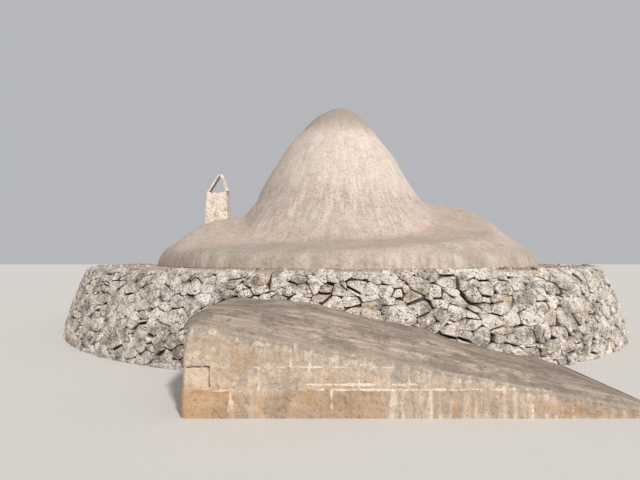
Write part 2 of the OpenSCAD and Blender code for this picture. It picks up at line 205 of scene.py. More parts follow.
@dataclass
class Shell:
    """Points, faces and per-point values of a mesh while it is put together."""

    points: list[np.ndarray] = field(default_factory=list)
    faces: list[tuple[np.ndarray, int]] = field(default_factory=list)
    tints: list[np.ndarray] = field(default_factory=list)
    runs: list[np.ndarray] = field(default_factory=list)
    count: int = 0

    def add(
        self,
        points: np.ndarray,
        faces: Sequence[np.ndarray],
        slot: int = 0,
        tint: np.ndarray | None = None,
        run: np.ndarray | None = None,
    ) -> None:
        """Add one patch of mesh.

        Args:
            points: Places, one row each.
            faces: Arrays of point numbers, each array with one number of corners.
            slot: Number of the material.
            tint: Four values for each point, which the materials read.
            run: Place of each point along and across the surface.
        """
        total = len(points)
        self.points.append(points)
        self.tints.append(np.zeros((total, 4)) if tint is None else tint)
        self.runs.append(points if run is None else run)
        self.faces += [(f + self.count, slot) for f in faces]
        self.count += total

    def build(
        self, name: str, materials: Sequence[bpy.types.Material], sharp: float | None = 30.0
    ) -> bpy.types.Object:
        """Make the mesh object.

        Args:
            name: Name of the piece.
            materials: Materials in the order of their numbers.
            sharp: Angle in degrees past which an edge stays sharp, or None for a smooth mesh.

        Returns:
            The new object, at the origin.
        """
        mesh = bpy.data.meshes.new(name)
        points = np.concatenate(self.points)
        loops = np.concatenate([f.ravel() for f, _ in self.faces])
        sizes = np.concatenate([np.full(len(f), f.shape[1]) for f, _ in self.faces])
        slots = np.concatenate([np.full(len(f), s) for f, s in self.faces])
        mesh.vertices.add(len(points))
        mesh.vertices.foreach_set("co", points.astype(np.float32).ravel())
        mesh.loops.add(len(loops))
        mesh.loops.foreach_set("vertex_index", loops.astype(np.int32))
        mesh.polygons.add(len(sizes))
        starts = np.concatenate([[0], np.cumsum(sizes)[:-1]])
        mesh.polygons.foreach_set("loop_start", starts.astype(np.int32))
        mesh.polygons.foreach_set("material_index", slots.astype(np.int32))
        mesh.update(calc_edges=True)
        mesh.validate()
        for label, kind, values, part in (
            ("tint", "FLOAT_COLOR", self.tints, "color"),
            ("run", "FLOAT_VECTOR", self.runs, "vector"),
        ):
            layer = mesh.attributes.new(label, kind, "POINT")
            layer.data.foreach_set(part, np.concatenate(values).astype(np.float32).ravel())
        mesh.shade_smooth()
        if sharp is not None:
            mesh.set_sharp_from_angle(angle=math.radians(sharp))
        thing = bpy.data.objects.new(name, mesh)
        bpy.context.scene.collection.objects.link(thing)
        for material in materials:
            mesh.materials.append(material)
        return thing


def settle(thing: bpy.types.Object, slot: Slot, *nodes: str) -> bpy.types.Object:
    """Put a finished piece on the building and report it.

    Args:
        thing: The piece.
        slot: The record's slot that its finish belongs to; not used.
        nodes: CAD nodes that it stands for.

    Returns:
        The same piece.
    """
    spots = read(thing.data)
    spots[:, 2] = np.maximum(spots[:, 2], 0.0)
    thing.data.vertices.foreach_set("co", spots.ravel())
    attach(thing, BODY)
    if nodes:
        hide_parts(*nodes)
    corners = sum(len(p.vertices) - 2 for p in thing.data.polygons)
    LOG.info("%s: %d triangles", thing.name, corners)
    return thing


# ---------------------------------------------------------------- shaders


class Shade:
    """Adds and links the nodes of a shader tree in few words."""

    def __init__(self, tree: bpy.types.NodeTree) -> None:
        """Work on a tree.

        Args:
            tree: The tree that the nodes go into.
        """
        self.tree = tree

    def node(self, kind: str, feeds: dict | None = None, **settings: object) -> bpy.types.Node:
        """Add one node.

        Args:
            kind: The node's type name.
            feeds: Input names or numbers, with the value or socket for each.
            settings: Properties of the node.

        Returns:
            The node.
        """
        made = self.tree.nodes.new(kind)
        for key, value in settings.items():
            setattr(made, key, value)
        for key, value in (feeds or {}).items():
            if isinstance(value, Socket):
                self.tree.links.new(value, made.inputs[key])
            else:
                made.inputs[key].default_value = value
        return made

    def place(self, scale: Colour = (1.0, 1.0, 1.0), turn: Colour = (0.0, 0.0, 0.0)) -> Socket:
        """Give the object's own coordinates, stretched and turned."""
        where = self.node("ShaderNodeTexCoord").outputs["Object"]
        feeds = {"Vector": where, "Scale": scale, "Rotation": turn}
        return self.node("ShaderNodeMapping", feeds).outputs["Vector"]

    def layer(self, name: str, part: str = "Vector") -> Socket:
        """Give one output of a mesh attribute."""
        return self.node("ShaderNodeAttribute", attribute_name=name).outputs[part]

    def tints(self) -> tuple[Socket, Socket, Socket]:
        """Give the first three tints of the mesh."""
        return self.parts(self.layer("tint", "Color"))

    def vector(self, operation: str, feeds: dict) -> Socket:
        """Do one sum with vectors."""
        return self.node("ShaderNodeVectorMath", feeds, operation=operation).outputs[0]

    def parts(self, vector: Socket) -> tuple[Socket, Socket, Socket]:
        """Split a vector or a colour in three."""
        return tuple(self.node("ShaderNodeSeparateXYZ", {0: vector}).outputs)

    def noise(
        self,
        vector: Socket,
        scale: Socket | float,
        detail: float = 4.0,
        rough: float = 0.5,
        bend: float = 0.0,
    ) -> Socket:
        """Give a noise value.

        Args:
            vector: Where it is read.
            scale: Lumps in a metre.
            detail: Number of finer layers.
            rough: Share of the finer layers.
            bend: How far the pattern is distorted.

        Returns:
            The value, from 0 to 1.
        """
        feeds = {"Vector": vector, "Scale": scale, "Detail": detail, "Roughness": rough, "Distortion": bend}
        return self.node("ShaderNodeTexNoise", feeds).outputs[0]

    def cells(self, vector: Socket, scale: float, feature: str = "F1") -> Socket:
        """Give the distance value of a cell pattern."""
        feeds = {"Vector": vector, "Scale": scale}
        return self.node("ShaderNodeTexVoronoi", feeds, feature=feature).outputs["Distance"]

    def span(self, value: Socket, low: Feed, high: Feed, out_low: float = 0.0, out_high: float = 1.0) -> Socket:
        """Stretch the range from low to high over the range of the output, smoothly."""
        feeds = {0: value, 1: low, 2: high, 3: out_low, 4: out_high}
        return self.node("ShaderNodeMapRange", feeds, interpolation_type="SMOOTHSTEP").outputs[0]

    def sums(self, operation: str, a: Feed, b: Feed) -> Socket:
        """Do one sum."""
        return self.node("ShaderNodeMath", {0: a, 1: b}, operation=operation).outputs[0]

    def plus(self, a: Feed, b: Feed) -> Socket:
        """Add two values."""
        return self.sums("ADD", a, b)

    def less(self, a: Feed, b: Feed) -> Socket:
        """Take the second value from the first."""
        return self.sums("SUBTRACT", a, b)

    def times(self, a: Feed, b: Feed) -> Socket:
        """Multiply two values."""
        return self.sums("MULTIPLY", a, b)

    def group(self, tree: bpy.types.NodeTree, feeds: dict) -> Socket:
        """Place a node group and give its output."""
        return self.node("ShaderNodeGroup", feeds, node_tree=tree).outputs[0]

    def bump(self, height: Socket, strength: float, distance: float) -> Socket:
        """Turn a height into a bumped normal."""
        feeds = {"Strength": strength, "Distance": distance, "Height": height}
        return self.node("ShaderNodeBump", feeds).outputs["Normal"]


@dataclass
class Coat:
    """A colour that is built up in layers."""

    shade: Shade
    colour: Socket | Colour

    def lay(self, colour: Colour, mask: Socket, *limits: float) -> None:
        """Lay a colour over the rest.

        Args:
            colour: The colour.
            mask: Where it shows.
            limits: Range of the mask, then of the cover, if the mask isn't the cover itself.
        """
        share = self.shade.span(mask, *limits) if limits else mask
        under = self.colour if isinstance(self.colour, Socket) else (*self.colour, 1.0)
        feeds = {0: share, 6: under, 7: (*colour, 1.0)}
        self.colour = self.shade.node("ShaderNodeMix", feeds, data_type="RGBA").outputs[2]


def new_group(name: str, inputs: dict[str, float | None], output: str) -> tuple[Shade, dict[str, Socket], Socket]:
    """Start a shader node group.

    Args:
        name: Name of the group.
        inputs: First value of each input by name, or None for a vector.
        output: Name of its value output.

    Returns:
        A helper on its tree, its inputs by name, and the socket that its result goes to.
    """
    tree = bpy.data.node_groups.new(name, "ShaderNodeTree")
    for label, start in inputs.items():
        kind = "NodeSocketVector" if start is None else "NodeSocketFloat"
        made = tree.interface.new_socket(name=label, in_out="INPUT", socket_type=kind)
        if start is not None:
            made.default_value = start
    tree.interface.new_socket(name=output, in_out="OUTPUT", socket_type="NodeSocketFloat")
    source, sink = tree.nodes.new("NodeGroupInput"), tree.nodes.new("NodeGroupOutput")
    return Shade(tree), {s.name: s for s in source.outputs if s.name}, sink.inputs[output]


class Effects:
    """Node groups that more than one finish uses: lichen, rain streaks and grit."""

    def __init__(self) -> None:
        """Build the groups."""
        self.lichen_tree = self._lichen()
        self.streaks_tree = self._streaks()
        self.grit_tree = self._grit()

    def lichen(self, shade: Shade, where: Socket, scale: float, cover: float) -> Socket:
        """Place the mask of lichen."""
        return shade.group(self.lichen_tree, {"Vector": where, "Scale": scale, "Cover": cover})

    def streaks(self, shade: Shade, run: Socket, scale: float, length: float) -> Socket:
        """Place the mask of rain streaks."""
        return shade.group(self.streaks_tree, {"Run": run, "Scale": scale, "Length": length})

    def grit(self, shade: Shade, where: Socket, scale: float, pits: float) -> Socket:
        """Place the height of grains."""
        return shade.group(self.grit_tree, {"Vector": where, "Scale": scale, "Pits": pits})

    @staticmethod
    def _lichen() -> bpy.types.NodeTree:
        """Build a mask of ragged spots that gather in larger patches.

        Returns:
            The group.
        """
        shade, given, out = new_group("Lichen", {"Vector": None, "Scale": 8.0, "Cover": 0.5}, "Mask")
        patches = shade.noise(given["Vector"], shade.times(given["Scale"], 0.18), 3.0)
        spots = shade.noise(given["Vector"], given["Scale"], 6.0, 0.68)
        both = shade.plus(shade.times(patches, 0.55), shade.times(spots, 0.45))
        low = shade.less(0.72, shade.times(given["Cover"], 0.4))
        shade.tree.links.new(shade.span(both, low, shade.plus(low, 0.09)), out)
        return shade.tree

    @staticmethod
    def _streaks() -> bpy.types.NodeTree:
        """Build a mask of long streaks along the third axis of a run.

        Returns:
            The group.
        """
        shade, given, out = new_group("Rain streaks", {"Run": None, "Scale": 6.0, "Length": 0.1}, "Mask")
        across, along, down = shade.parts(given["Run"])
        feeds = {0: across, 1: along, 2: shade.times(down, given["Length"])}
        short = shade.node("ShaderNodeCombineXYZ", feeds).outputs[0]
        shade.tree.links.new(shade.span(shade.noise(short, given["Scale"], 5.0, 0.62), 0.38, 0.66), out)
        return shade.tree

    @staticmethod
    def _grit() -> bpy.types.NodeTree:
        """Build a height of sandy grains over softer lumps, with small pits.

        Returns:
            The group.
        """
        shade, given, out = new_group("Grit", {"Vector": None, "Scale": 60.0, "Pits": 0.3}, "Height")
        where, scale = given["Vector"], given["Scale"]
        fine = shade.noise(where, scale, 5.0, 0.7)
        lumps = shade.noise(where, shade.times(scale, 0.16))
        holes = shade.noise(where, shade.times(scale, 0.5), 2.0)
        pits = shade.times(shade.span(holes, 0.36, 0.3), given["Pits"])
        height = shade.plus(shade.times(fine, 0.4), lumps)
        shade.tree.links.new(shade.less(height, pits), out)
        return shade.tree


@dataclass(frozen=True)
class Finish:
    """What every finish has: a name, the depth of its relief and its shine."""

    name: str = "Plain"
    relief: float = 0.9
    depth: float = 0.016
    shine: float = 0.25
    rough: float = 0.9

    def paint(self, shade: Shade, effects: Effects) -> tuple[Socket, Socket]:
        """Make the finish's colour and height.

        Args:
            shade: Helper on the material's tree.
            effects: The shared node groups.

        Returns:
            The colour and the height.
        """
        raise NotImplementedError

    def build(self, effects: Effects) -> bpy.types.Material:
        """Build the material.

        Args:
            effects: The shared node groups.

        Returns:
            The material.
        """
        material = bpy.data.materials.new(self.name)
        material.use_nodes = True
        shade = Shade(material.node_tree)
        shader = next(n for n in shade.tree.nodes if n.type == "BSDF_PRINCIPLED")
        shader.inputs["Specular IOR Level"].default_value = self.shine
        shader.inputs["Roughness"].default_value = self.rough
        colour, height = self.paint(shade, effects)
        shade.tree.links.new(colour, shader.inputs["Base Color"])
        shade.tree.links.new(shade.bump(height, self.relief, self.depth), shader.inputs["Normal"])
        return material


@dataclass(frozen=True)
class RubbleFinish(Finish):
    """Pale limestone rubble with grey lichen, ochre patches, and grime with painted shade darkening it towards the
    joints.
    """

    name: str = "Limestone rubble"
    relief: float = 1.0
    depth: float = 0.026
    pale: Colour = (0.85, 0.755, 0.645)
    white: Colour = (0.95, 0.89, 0.82)
    grey: Colour = (0.42, 0.36, 0.3)
    ochre: Colour = (0.55, 0.39, 0.24)
    dark: Colour = (0.17, 0.15, 0.125)
    hollow: Colour = (0.08, 0.065, 0.05)
    # near black: grime and painted shade where the stone runs back into the joints
    joint: Colour = (0.09, 0.075, 0.06)

    def paint(self, shade: Shade, effects: Effects) -> tuple[Socket, Socket]:
        """Make colour and height; the tints hold the stone's tone, its warmth, and its grime and painted shade towards
        the joints.

        Args:
            shade: Helper on the material's tree.
            effects: The shared node groups.

        Returns:
            The colour and the height.
        """
        tone, warm, inner = shade.tints()
        where = shade.place()
        mottle = shade.noise(where, 7.0, 6.0, 0.68)
        middle = shade.noise(where, 26.0, 5.0, 0.65)
        speck = shade.noise(where, 85.0, 3.0, 0.7)
        stain = shade.noise(where, 4.5, 5.0, 0.65)
        bright = shade.plus(shade.times(tone, 0.75), shade.span(mottle, 0.36, 0.6, -0.1, 0.72))
        coat = Coat(shade, self.grey)
        coat.lay(self.pale, bright, 0.05, 0.75)
        coat.lay(self.white, bright, 0.6, 1.1, 0.0, 0.9)
        rust = shade.times(shade.span(stain, 0.46, 0.58), shade.span(warm, 0.25, 0.8))
        coat.lay(self.ochre, shade.times(rust, 0.75))
        coat.lay(self.grey, middle, 0.5, 0.42, 0.0, 0.55)
        coat.lay(self.dark, shade.times(effects.lichen(shade, where, 21.0, 0.6), 0.75))
        turned = shade.place(turn=(0.4, 0.2, 0.9))
        coat.lay(self.white, shade.times(effects.lichen(shade, turned, 15.0, 0.6), 0.5))
        coat.lay(self.dark, speck, 0.47, 0.39, 0.0, 0.75)
        pit = shade.noise(shade.place((1.0, 1.0, 1.5), (0.3, 0.1, 0.0)), 22.0, 3.0, 0.55, 1.2)
        holes = shade.span(pit, 0.4, 0.33)
        coat.lay(self.hollow, shade.times(holes, 0.95))
        # painted shade with grime towards the joints, darkest where the stone runs back into the gap
        coat.lay(self.joint, inner, 0.1, 1.0, 0.0, 0.92)
        height = shade.plus(effects.grit(shade, where, 42.0, 0.8), shade.times(middle, 1.6))
        height = shade.less(height, shade.times(shade.cells(where, 12.0), 0.7))
        return coat.colour, shade.less(height, shade.times(holes, 0.6))


@dataclass(frozen=True)
class EarthFinish(Finish):
    """Dark earth and small rubble, as it shows in the joints and on hidden stone, painted near black as the shade deep
    in the joints.
    """

    name: str = "Joint earth"
    relief: float = 1.0
    depth: float = 0.03
    # both earth colours are near black: the earth's own dark brown deepened as painted shade in the joints
    damp_and_shade: Colour = (0.035, 0.028, 0.022)
    dry: Colour = (0.12, 0.095, 0.072)

    def paint(self, shade: Shade, effects: Effects) -> tuple[Socket, Socket]:
        """Make colour and height.

        Args:
            shade: Helper on the material's tree.
            effects: The shared node groups.

        Returns:
            The colour and the height.
        """
        where = shade.place()
        coat = Coat(shade, self.damp_and_shade)
        coat.lay(self.dry, shade.noise(where, 14.0, 6.0, 0.65), 0.35, 0.7)
        return coat.colour, effects.grit(shade, where, 30.0, 0.8)


@dataclass(frozen=True)
class RenderFinish(Finish):
    """Old lime render with rain streaks down the slope, pinkish patches, grey lichen and painted shade down the cone's
    left side.
    """

    name: str = "Lime render"
    warm: Colour = (0.52, 0.435, 0.37)
    pink: Colour = (0.61, 0.455, 0.385)
    pale: Colour = (0.76, 0.665, 0.59)
    grey: Colour = (0.36, 0.3, 0.25)
    dark: Colour = (0.2, 0.165, 0.135)
    flat: Colour = (0.4, 0.32, 0.26)
    plinth: Colour = (0.42, 0.36, 0.3)
    # grime colour: dark for grime and lichen, and also painted shade down the cone's left side
    grime: Colour = (0.3, 0.255, 0.21)

    def paint(self, shade: Shade, effects: Effects) -> tuple[Socket, Socket]:
        """Make colour and height; the tints hold grime with painted shade, plinth, flatness and the washed waist.

        Args:
            shade: Helper on the material's tree.
            effects: The shared node groups.

        Returns:
            The colour and the height.
        """
        grime_and_shade, plinth, flat = shade.tints()
        waist = shade.layer("tint", "Alpha")
        where, run = shade.place(), shade.layer("run")
        broad = shade.noise(where, 0.8, 5.0, 0.6, 0.4)
        patch = shade.noise(where, 2.6, 6.0, 0.65)
        middle = shade.noise(where, 9.0, 6.0, 0.68)
        mottle = shade.noise(where, 26.0, 5.0, 0.66)
        streak = effects.streaks(shade, run, 8.0, 0.12)
        between = shade.less(1.0, effects.streaks(shade, run, 20.0, 0.1))
        steep = shade.span(flat, 0.85, 0.5, 0.15, 1.0)
        coat = Coat(shade, self.warm)
        coat.lay(self.pink, broad, 0.42, 0.58)
        coat.lay(self.pale, patch, 0.44, 0.66, 0.0, 0.4)
        coat.lay(self.grey, patch, 0.5, 0.34, 0.0, 0.35)
        coat.lay(self.pale, shade.times(streak, shade.times(steep, 0.8)))
        coat.lay(self.grey, shade.times(between, shade.times(steep, 0.55)))
        coat.lay(self.flat, shade.times(shade.span(flat, 0.7, 0.95), 0.35))
        for value, low, high in ((middle, (0.49, 0.38, 0.0, 0.35), (0.53, 0.66, 0.0, 0.3)),
                                 (mottle, (0.5, 0.4, 0.0, 0.3), (0.52, 0.62, 0.0, 0.28))):
            coat.lay(self.grey, value, *low)
            coat.lay(self.pale, value, *high)
        coat.lay(self.pale, shade.times(waist, 0.42))
        coat.lay(self.dark, shade.times(effects.lichen(shade, where, 22.0, 0.5), 0.22))
        coat.lay(self.plinth, shade.times(plinth, shade.span(middle, 0.4, 0.6, 0.75, 0.35)))
        coat.lay(self.grey, shade.times(shade.times(plinth, between), 0.55))
        coat.lay(self.pale, shade.times(plinth, shade.times(streak, 0.45)))
        # lichen on the plinth's arris, a darker ledge, tip and right shoulder, and painted shade on the cone's left
        # side
        coat.lay(self.grime, shade.times(grime_and_shade, 0.75))
        coat.lay(self.dark, shade.noise(where, 48.0, 4.0, 0.7), 0.46, 0.36, 0.0, 0.6)
        return coat.colour, shade.plus(effects.grit(shade, where, 36.0, 0.5), shade.times(middle, 1.5))


@dataclass(frozen=True)
class ScreedFinish(Finish):
    """Worn screed: grey-brown, streaked along one axis, with pale rubbed crests and earth in the lows."""

    name: str = "Worn screed"
    brown: Colour = (0.42, 0.335, 0.265)
    grey: Colour = (0.27, 0.22, 0.175)
    pale: Colour = (0.6, 0.5, 0.41)
    dark: Colour = (0.13, 0.105, 0.085)
    earth: Colour = (0.45, 0.24, 0.14)
    grime: Colour = (0.3, 0.25, 0.205)
    grain: Colour = (0.13, 1.0, 1.0)

    def paint(self, shade: Shade, effects: Effects) -> tuple[Socket, Socket]:
        """Make colour and height; the tints hold rubbed crests, earth and the grimy edge.

        Args:
            shade: Helper on the material's tree.
            effects: The shared node groups.

        Returns:
            The colour and the height.
        """
        rubbed, soil, band = shade.tints()
        where = shade.place()
        long = shade.vector("MULTIPLY", {0: shade.layer("run"), 1: self.grain})
        wide = shade.noise(long, 4.0, 6.0, 0.68)
        thin = shade.noise(long, 18.0, 5.0, 0.7)
        middle = shade.noise(where, 12.0, 6.0, 0.68)
        coat = Coat(shade, self.grey)
        coat.lay(self.brown, wide, 0.4, 0.6, 0.2, 1.0)
        coat.lay(self.pale, thin, 0.5, 0.62, 0.0, 0.55)
        coat.lay(self.grey, thin, 0.47, 0.38, 0.0, 0.6)
        coat.lay(self.pale, shade.times(rubbed, shade.span(thin, 0.4, 0.55, 0.25, 0.9)))
        coat.lay(self.dark, middle, 0.48, 0.38, 0.0, 0.5)
        coat.lay(self.dark, shade.times(effects.lichen(shade, where, 15.0, 0.6), 0.5))
        coat.lay(self.grime, shade.times(band, shade.span(wide, 0.4, 0.58, 0.1, 0.6)))
        ragged = shade.span(shade.noise(where, 9.0, 6.0, 0.65), 0.4, 0.6, -0.35, 0.35)
        coat.lay(self.earth, shade.plus(soil, ragged), 0.4, 0.6)
        coat.lay(self.dark, shade.noise(where, 60.0, 4.0, 0.7), 0.46, 0.36, 0.0, 0.55)
        return coat.colour, shade.plus(effects.grit(shade, where, 36.0, 0.5), shade.times(thin, 1.2))


@dataclass(frozen=True)
class TufaFinish(Finish):
    """Ochre tufa blocks with pale mortar, grey lichen and dark open joints."""

    name: str = "Tufa blocks"
    depth: float = 0.014
    ochre: Colour = (0.485, 0.275, 0.125)
    tan: Colour = (0.65, 0.505, 0.37)
    pale: Colour = (0.77, 0.635, 0.49)
    wash: Colour = (0.76, 0.65, 0.54)
    mortar: Colour = (0.84, 0.72, 0.58)
    lichen: Colour = (0.46, 0.39, 0.325)
    dark: Colour = (0.17, 0.135, 0.1)
    brown: Colour = (0.4, 0.27, 0.17)
    soot: Colour = (0.27, 0.23, 0.19)
    fringe: Colour = (0.3, 0.25, 0.205)
    open: Colour = (0.05, 0.04, 0.03)

    def paint(self, shade: Shade, effects: Effects) -> tuple[Socket, Socket]:
        """Make colour and height; the tints hold block tone, mortar, open joints and lichen.

        Args:
            shade: Helper on the material's tree.
            effects: The shared node groups.

        Returns:
            The colour and the height.
        """
        tone, joint, crack = shade.tints()
        grime = shade.layer("tint", "Alpha")
        where, run = shade.place(), shade.layer("run")
        cloud = shade.noise(where, 3.0, 6.0, 0.65)
        middle = shade.noise(where, 14.0, 6.0, 0.68)
        grain = shade.noise(where, 48.0, 5.0, 0.7)
        beds = shade.noise(shade.place((0.5, 0.5, 2.2)), 5.0, 6.0, 0.65, 0.3)
        coat = Coat(shade, self.tan)
        coat.lay(self.ochre, shade.plus(tone, shade.span(cloud, 0.4, 0.6, -0.2, 0.2)), 0.1, 0.95)
        coat.lay(self.brown, tone, 0.5, 1.1, 0.0, 0.4)
        fade = shade.span(tone, 0.3, 0.8, 1.0, 0.4)
        coat.lay(self.pale, shade.times(shade.span(beds, 0.5, 0.6, 0.0, 0.4), fade))
        coat.lay(self.ochre, beds, 0.46, 0.38, 0.0, 0.3)
        coat.lay(self.pale, shade.times(shade.span(middle, 0.52, 0.64, 0.0, 0.4), fade))
        rag = shade.span(shade.noise(where, 11.0, 6.0, 0.68), 0.38, 0.62, -0.45, 0.45)
        darkening = shade.span(shade.plus(grime, rag), 0.2, 0.8, 0.0, 0.85)
        coat.lay(self.lichen, shade.times(darkening, shade.span(tone, 0.3, 0.8, 1.0, 0.6)))
        streak = shade.sums("POWER", effects.streaks(shade, run, 11.0, 0.2), 1.3)
        between = shade.less(1.0, effects.streaks(shade, run, 17.0, 0.25))
        coat.lay(self.soot, shade.times(between, shade.times(grime, 0.75)))
        coat.lay(self.wash, shade.times(streak, shade.span(grime, 0.6, 0.95, 0.05, 0.9)))
        coat.lay(self.mortar, shade.plus(joint, shade.times(rag, 0.7)), 0.3, 0.8, 0.0, 0.8)
        coat.lay(self.dark, shade.times(effects.lichen(shade, where, 17.0, 0.55), 0.3))
        coat.lay(self.lichen, middle, 0.46, 0.38, 0.0, 0.4)
        coat.lay(self.dark, grain, 0.46, 0.36, 0.0, 0.35)
        tattered = shade.span(shade.noise(where, 26.0, 5.0, 0.68), 0.38, 0.62, -0.12, 0.1)
        coat.lay(self.fringe, shade.plus(crack, tattered), 0.08, 0.3, 0.0, 0.8)
        coat.lay(self.open, crack, 0.4, 0.8)
        return coat.colour, shade.plus(effects.grit(shade, where, 46.0, 0.6), shade.times(middle, 1.2))


@dataclass(frozen=True)
class PlasterFinish(Finish):
    """Rough cream plaster over stone, pinkish in places, grey towards its edges."""

    name: str = "Cream plaster"
    relief: float = 1.0
    depth: float = 0.02
    cream: Colour = (0.82, 0.73, 0.63)
    pink: Colour = (0.76, 0.63, 0.54)
    grey: Colour = (0.52, 0.46, 0.4)
    dark: Colour = (0.2, 0.17, 0.14)

    def paint(self, shade: Shade, effects: Effects) -> tuple[Socket, Socket]:
        """Make colour and height.

        Args:
            shade: Helper on the material's tree.
            effects: The shared node groups.

        Returns:
            The colour and the height.
        """
        where = shade.place()
        small = shade.noise(where, 15.0, 6.0, 0.68)
        coat = Coat(shade, self.cream)
        coat.lay(self.pink, shade.noise(where, 4.0, 5.0, 0.6), 0.44, 0.58)
        coat.lay(self.cream, small, 0.5, 0.62, 0.0, 0.6)
        coat.lay(self.grey, small, 0.47, 0.38, 0.0, 0.75)
        coat.lay(self.dark, shade.times(effects.lichen(shade, where, 19.0, 0.5), 0.55))
        coat.lay(self.dark, shade.noise(where, 60.0, 4.0, 0.7), 0.44, 0.36, 0.0, 0.5)
        return coat.colour, shade.plus(effects.grit(shade, where, 40.0, 0.7), shade.times(small, 1.3))


@dataclass(frozen=True)
class PavingFinish(Finish):
    """Worn limestone slabs with earth in the joints."""

    name: str = "Limestone paving"
    relief: float = 0.7
    depth: float = 0.02
    slab: Colour = (0.55, 0.5, 0.42)
    worn: Colour = (0.68, 0.64, 0.56)
    earth: Colour = (0.13, 0.1, 0.07)

    def paint(self, shade: Shade, effects: Effects) -> tuple[Socket, Socket]:
        """Make colour and height.

        Args:
            shade: Helper on the material's tree.
            effects: The shared node groups.

        Returns:
            The colour and the height.
        """
        where = shade.place()
        edge = shade.cells(where, 1.9, "DISTANCE_TO_EDGE")
        coat = Coat(shade, self.slab)
        coat.lay(self.worn, shade.noise(where, 3.0, 5.0, 0.6), 0.35, 0.65)
        coat.lay(self.earth, edge, 0.03, 0.008)
        grit = shade.times(effects.grit(shade, where, 40.0, 0.4), 0.5)
        return coat.colour, shade.plus(grit, shade.span(edge, 0.0, 0.05))


class Palette:
    """All the finishes of the building, each built once."""

    def __init__(self) -> None:
        """Build the materials."""
        effects = Effects()
        self.rubble = RubbleFinish().build(effects)
        self.earth = EarthFinish().build(effects)
        self.render = RenderFinish().build(effects)
        self.ramp_top = ScreedFinish().build(effects)
        self.terrace = ScreedFinish(
            name="Terrace screed",
            brown=(0.58, 0.48, 0.39),
            grey=(0.44, 0.37, 0.3),
            pale=(0.7, 0.6, 0.5),
            dark=(0.25, 0.21, 0.17),
            grain=(1.0, 1.0, 1.0),
        ).build(effects)
        self.tufa = TufaFinish().build(effects)
        self.plaster = PlasterFinish().build(effects)
        self.vault = PlasterFinish(
            name="Vault limestone", cream=(0.58, 0.5, 0.41), pink=(0.5, 0.41, 0.32), grey=(0.34, 0.3, 0.26)
        ).build(effects)
        self.paving = PavingFinish().build(effects)


# ---------------------------------------------------------------- dry-stone faces


def clipped(shape: list[Corner], nx: float, ny: float, limit: float, seam: float) -> list[Corner]:
    """Cut a convex outline with a line.

    Args:
        shape: Corners in order, each with the seam of the edge that starts there.
        nx: First part of the line's normal.
        ny: Second part of the line's normal.
        limit: Largest dot product with the normal that is kept.
        seam: Seam of the new edge.

    Returns:
        The corners that are left.
    """
    kept: list[Corner] = []
    count = len(shape)
    for i in range(count):
        ax, ay, edge = shape[i]
        bx, by, _ = shape[(i + 1) % count]
        da, db = nx * ax + ny * ay - limit, nx * bx + ny * by - limit
        if da <= 0.0:
            kept.append((ax, ay, edge))
        if (da < 0.0 < db) or (db < 0.0 < da):
            t = da / (da - db)
            kept.append((ax + t * (bx - ax), ay + t * (by - ay), seam if da < 0.0 else edge))
    return kept


@dataclass(frozen=True)
class Laying:
    """How stones are laid at one place along a wall."""

    length: float = 0.22
    jitter: float = 0.2
    open: float = 0.22
    upright: float = 0.4
    merge: float = 0.1
    chips: float = 0.25
    relief: float = 0.008
    tilt: float = 0.12
    ragged: float = 0.02
    under: float = 0.0
    tone: float = 0.6
    warm: float = 0.3


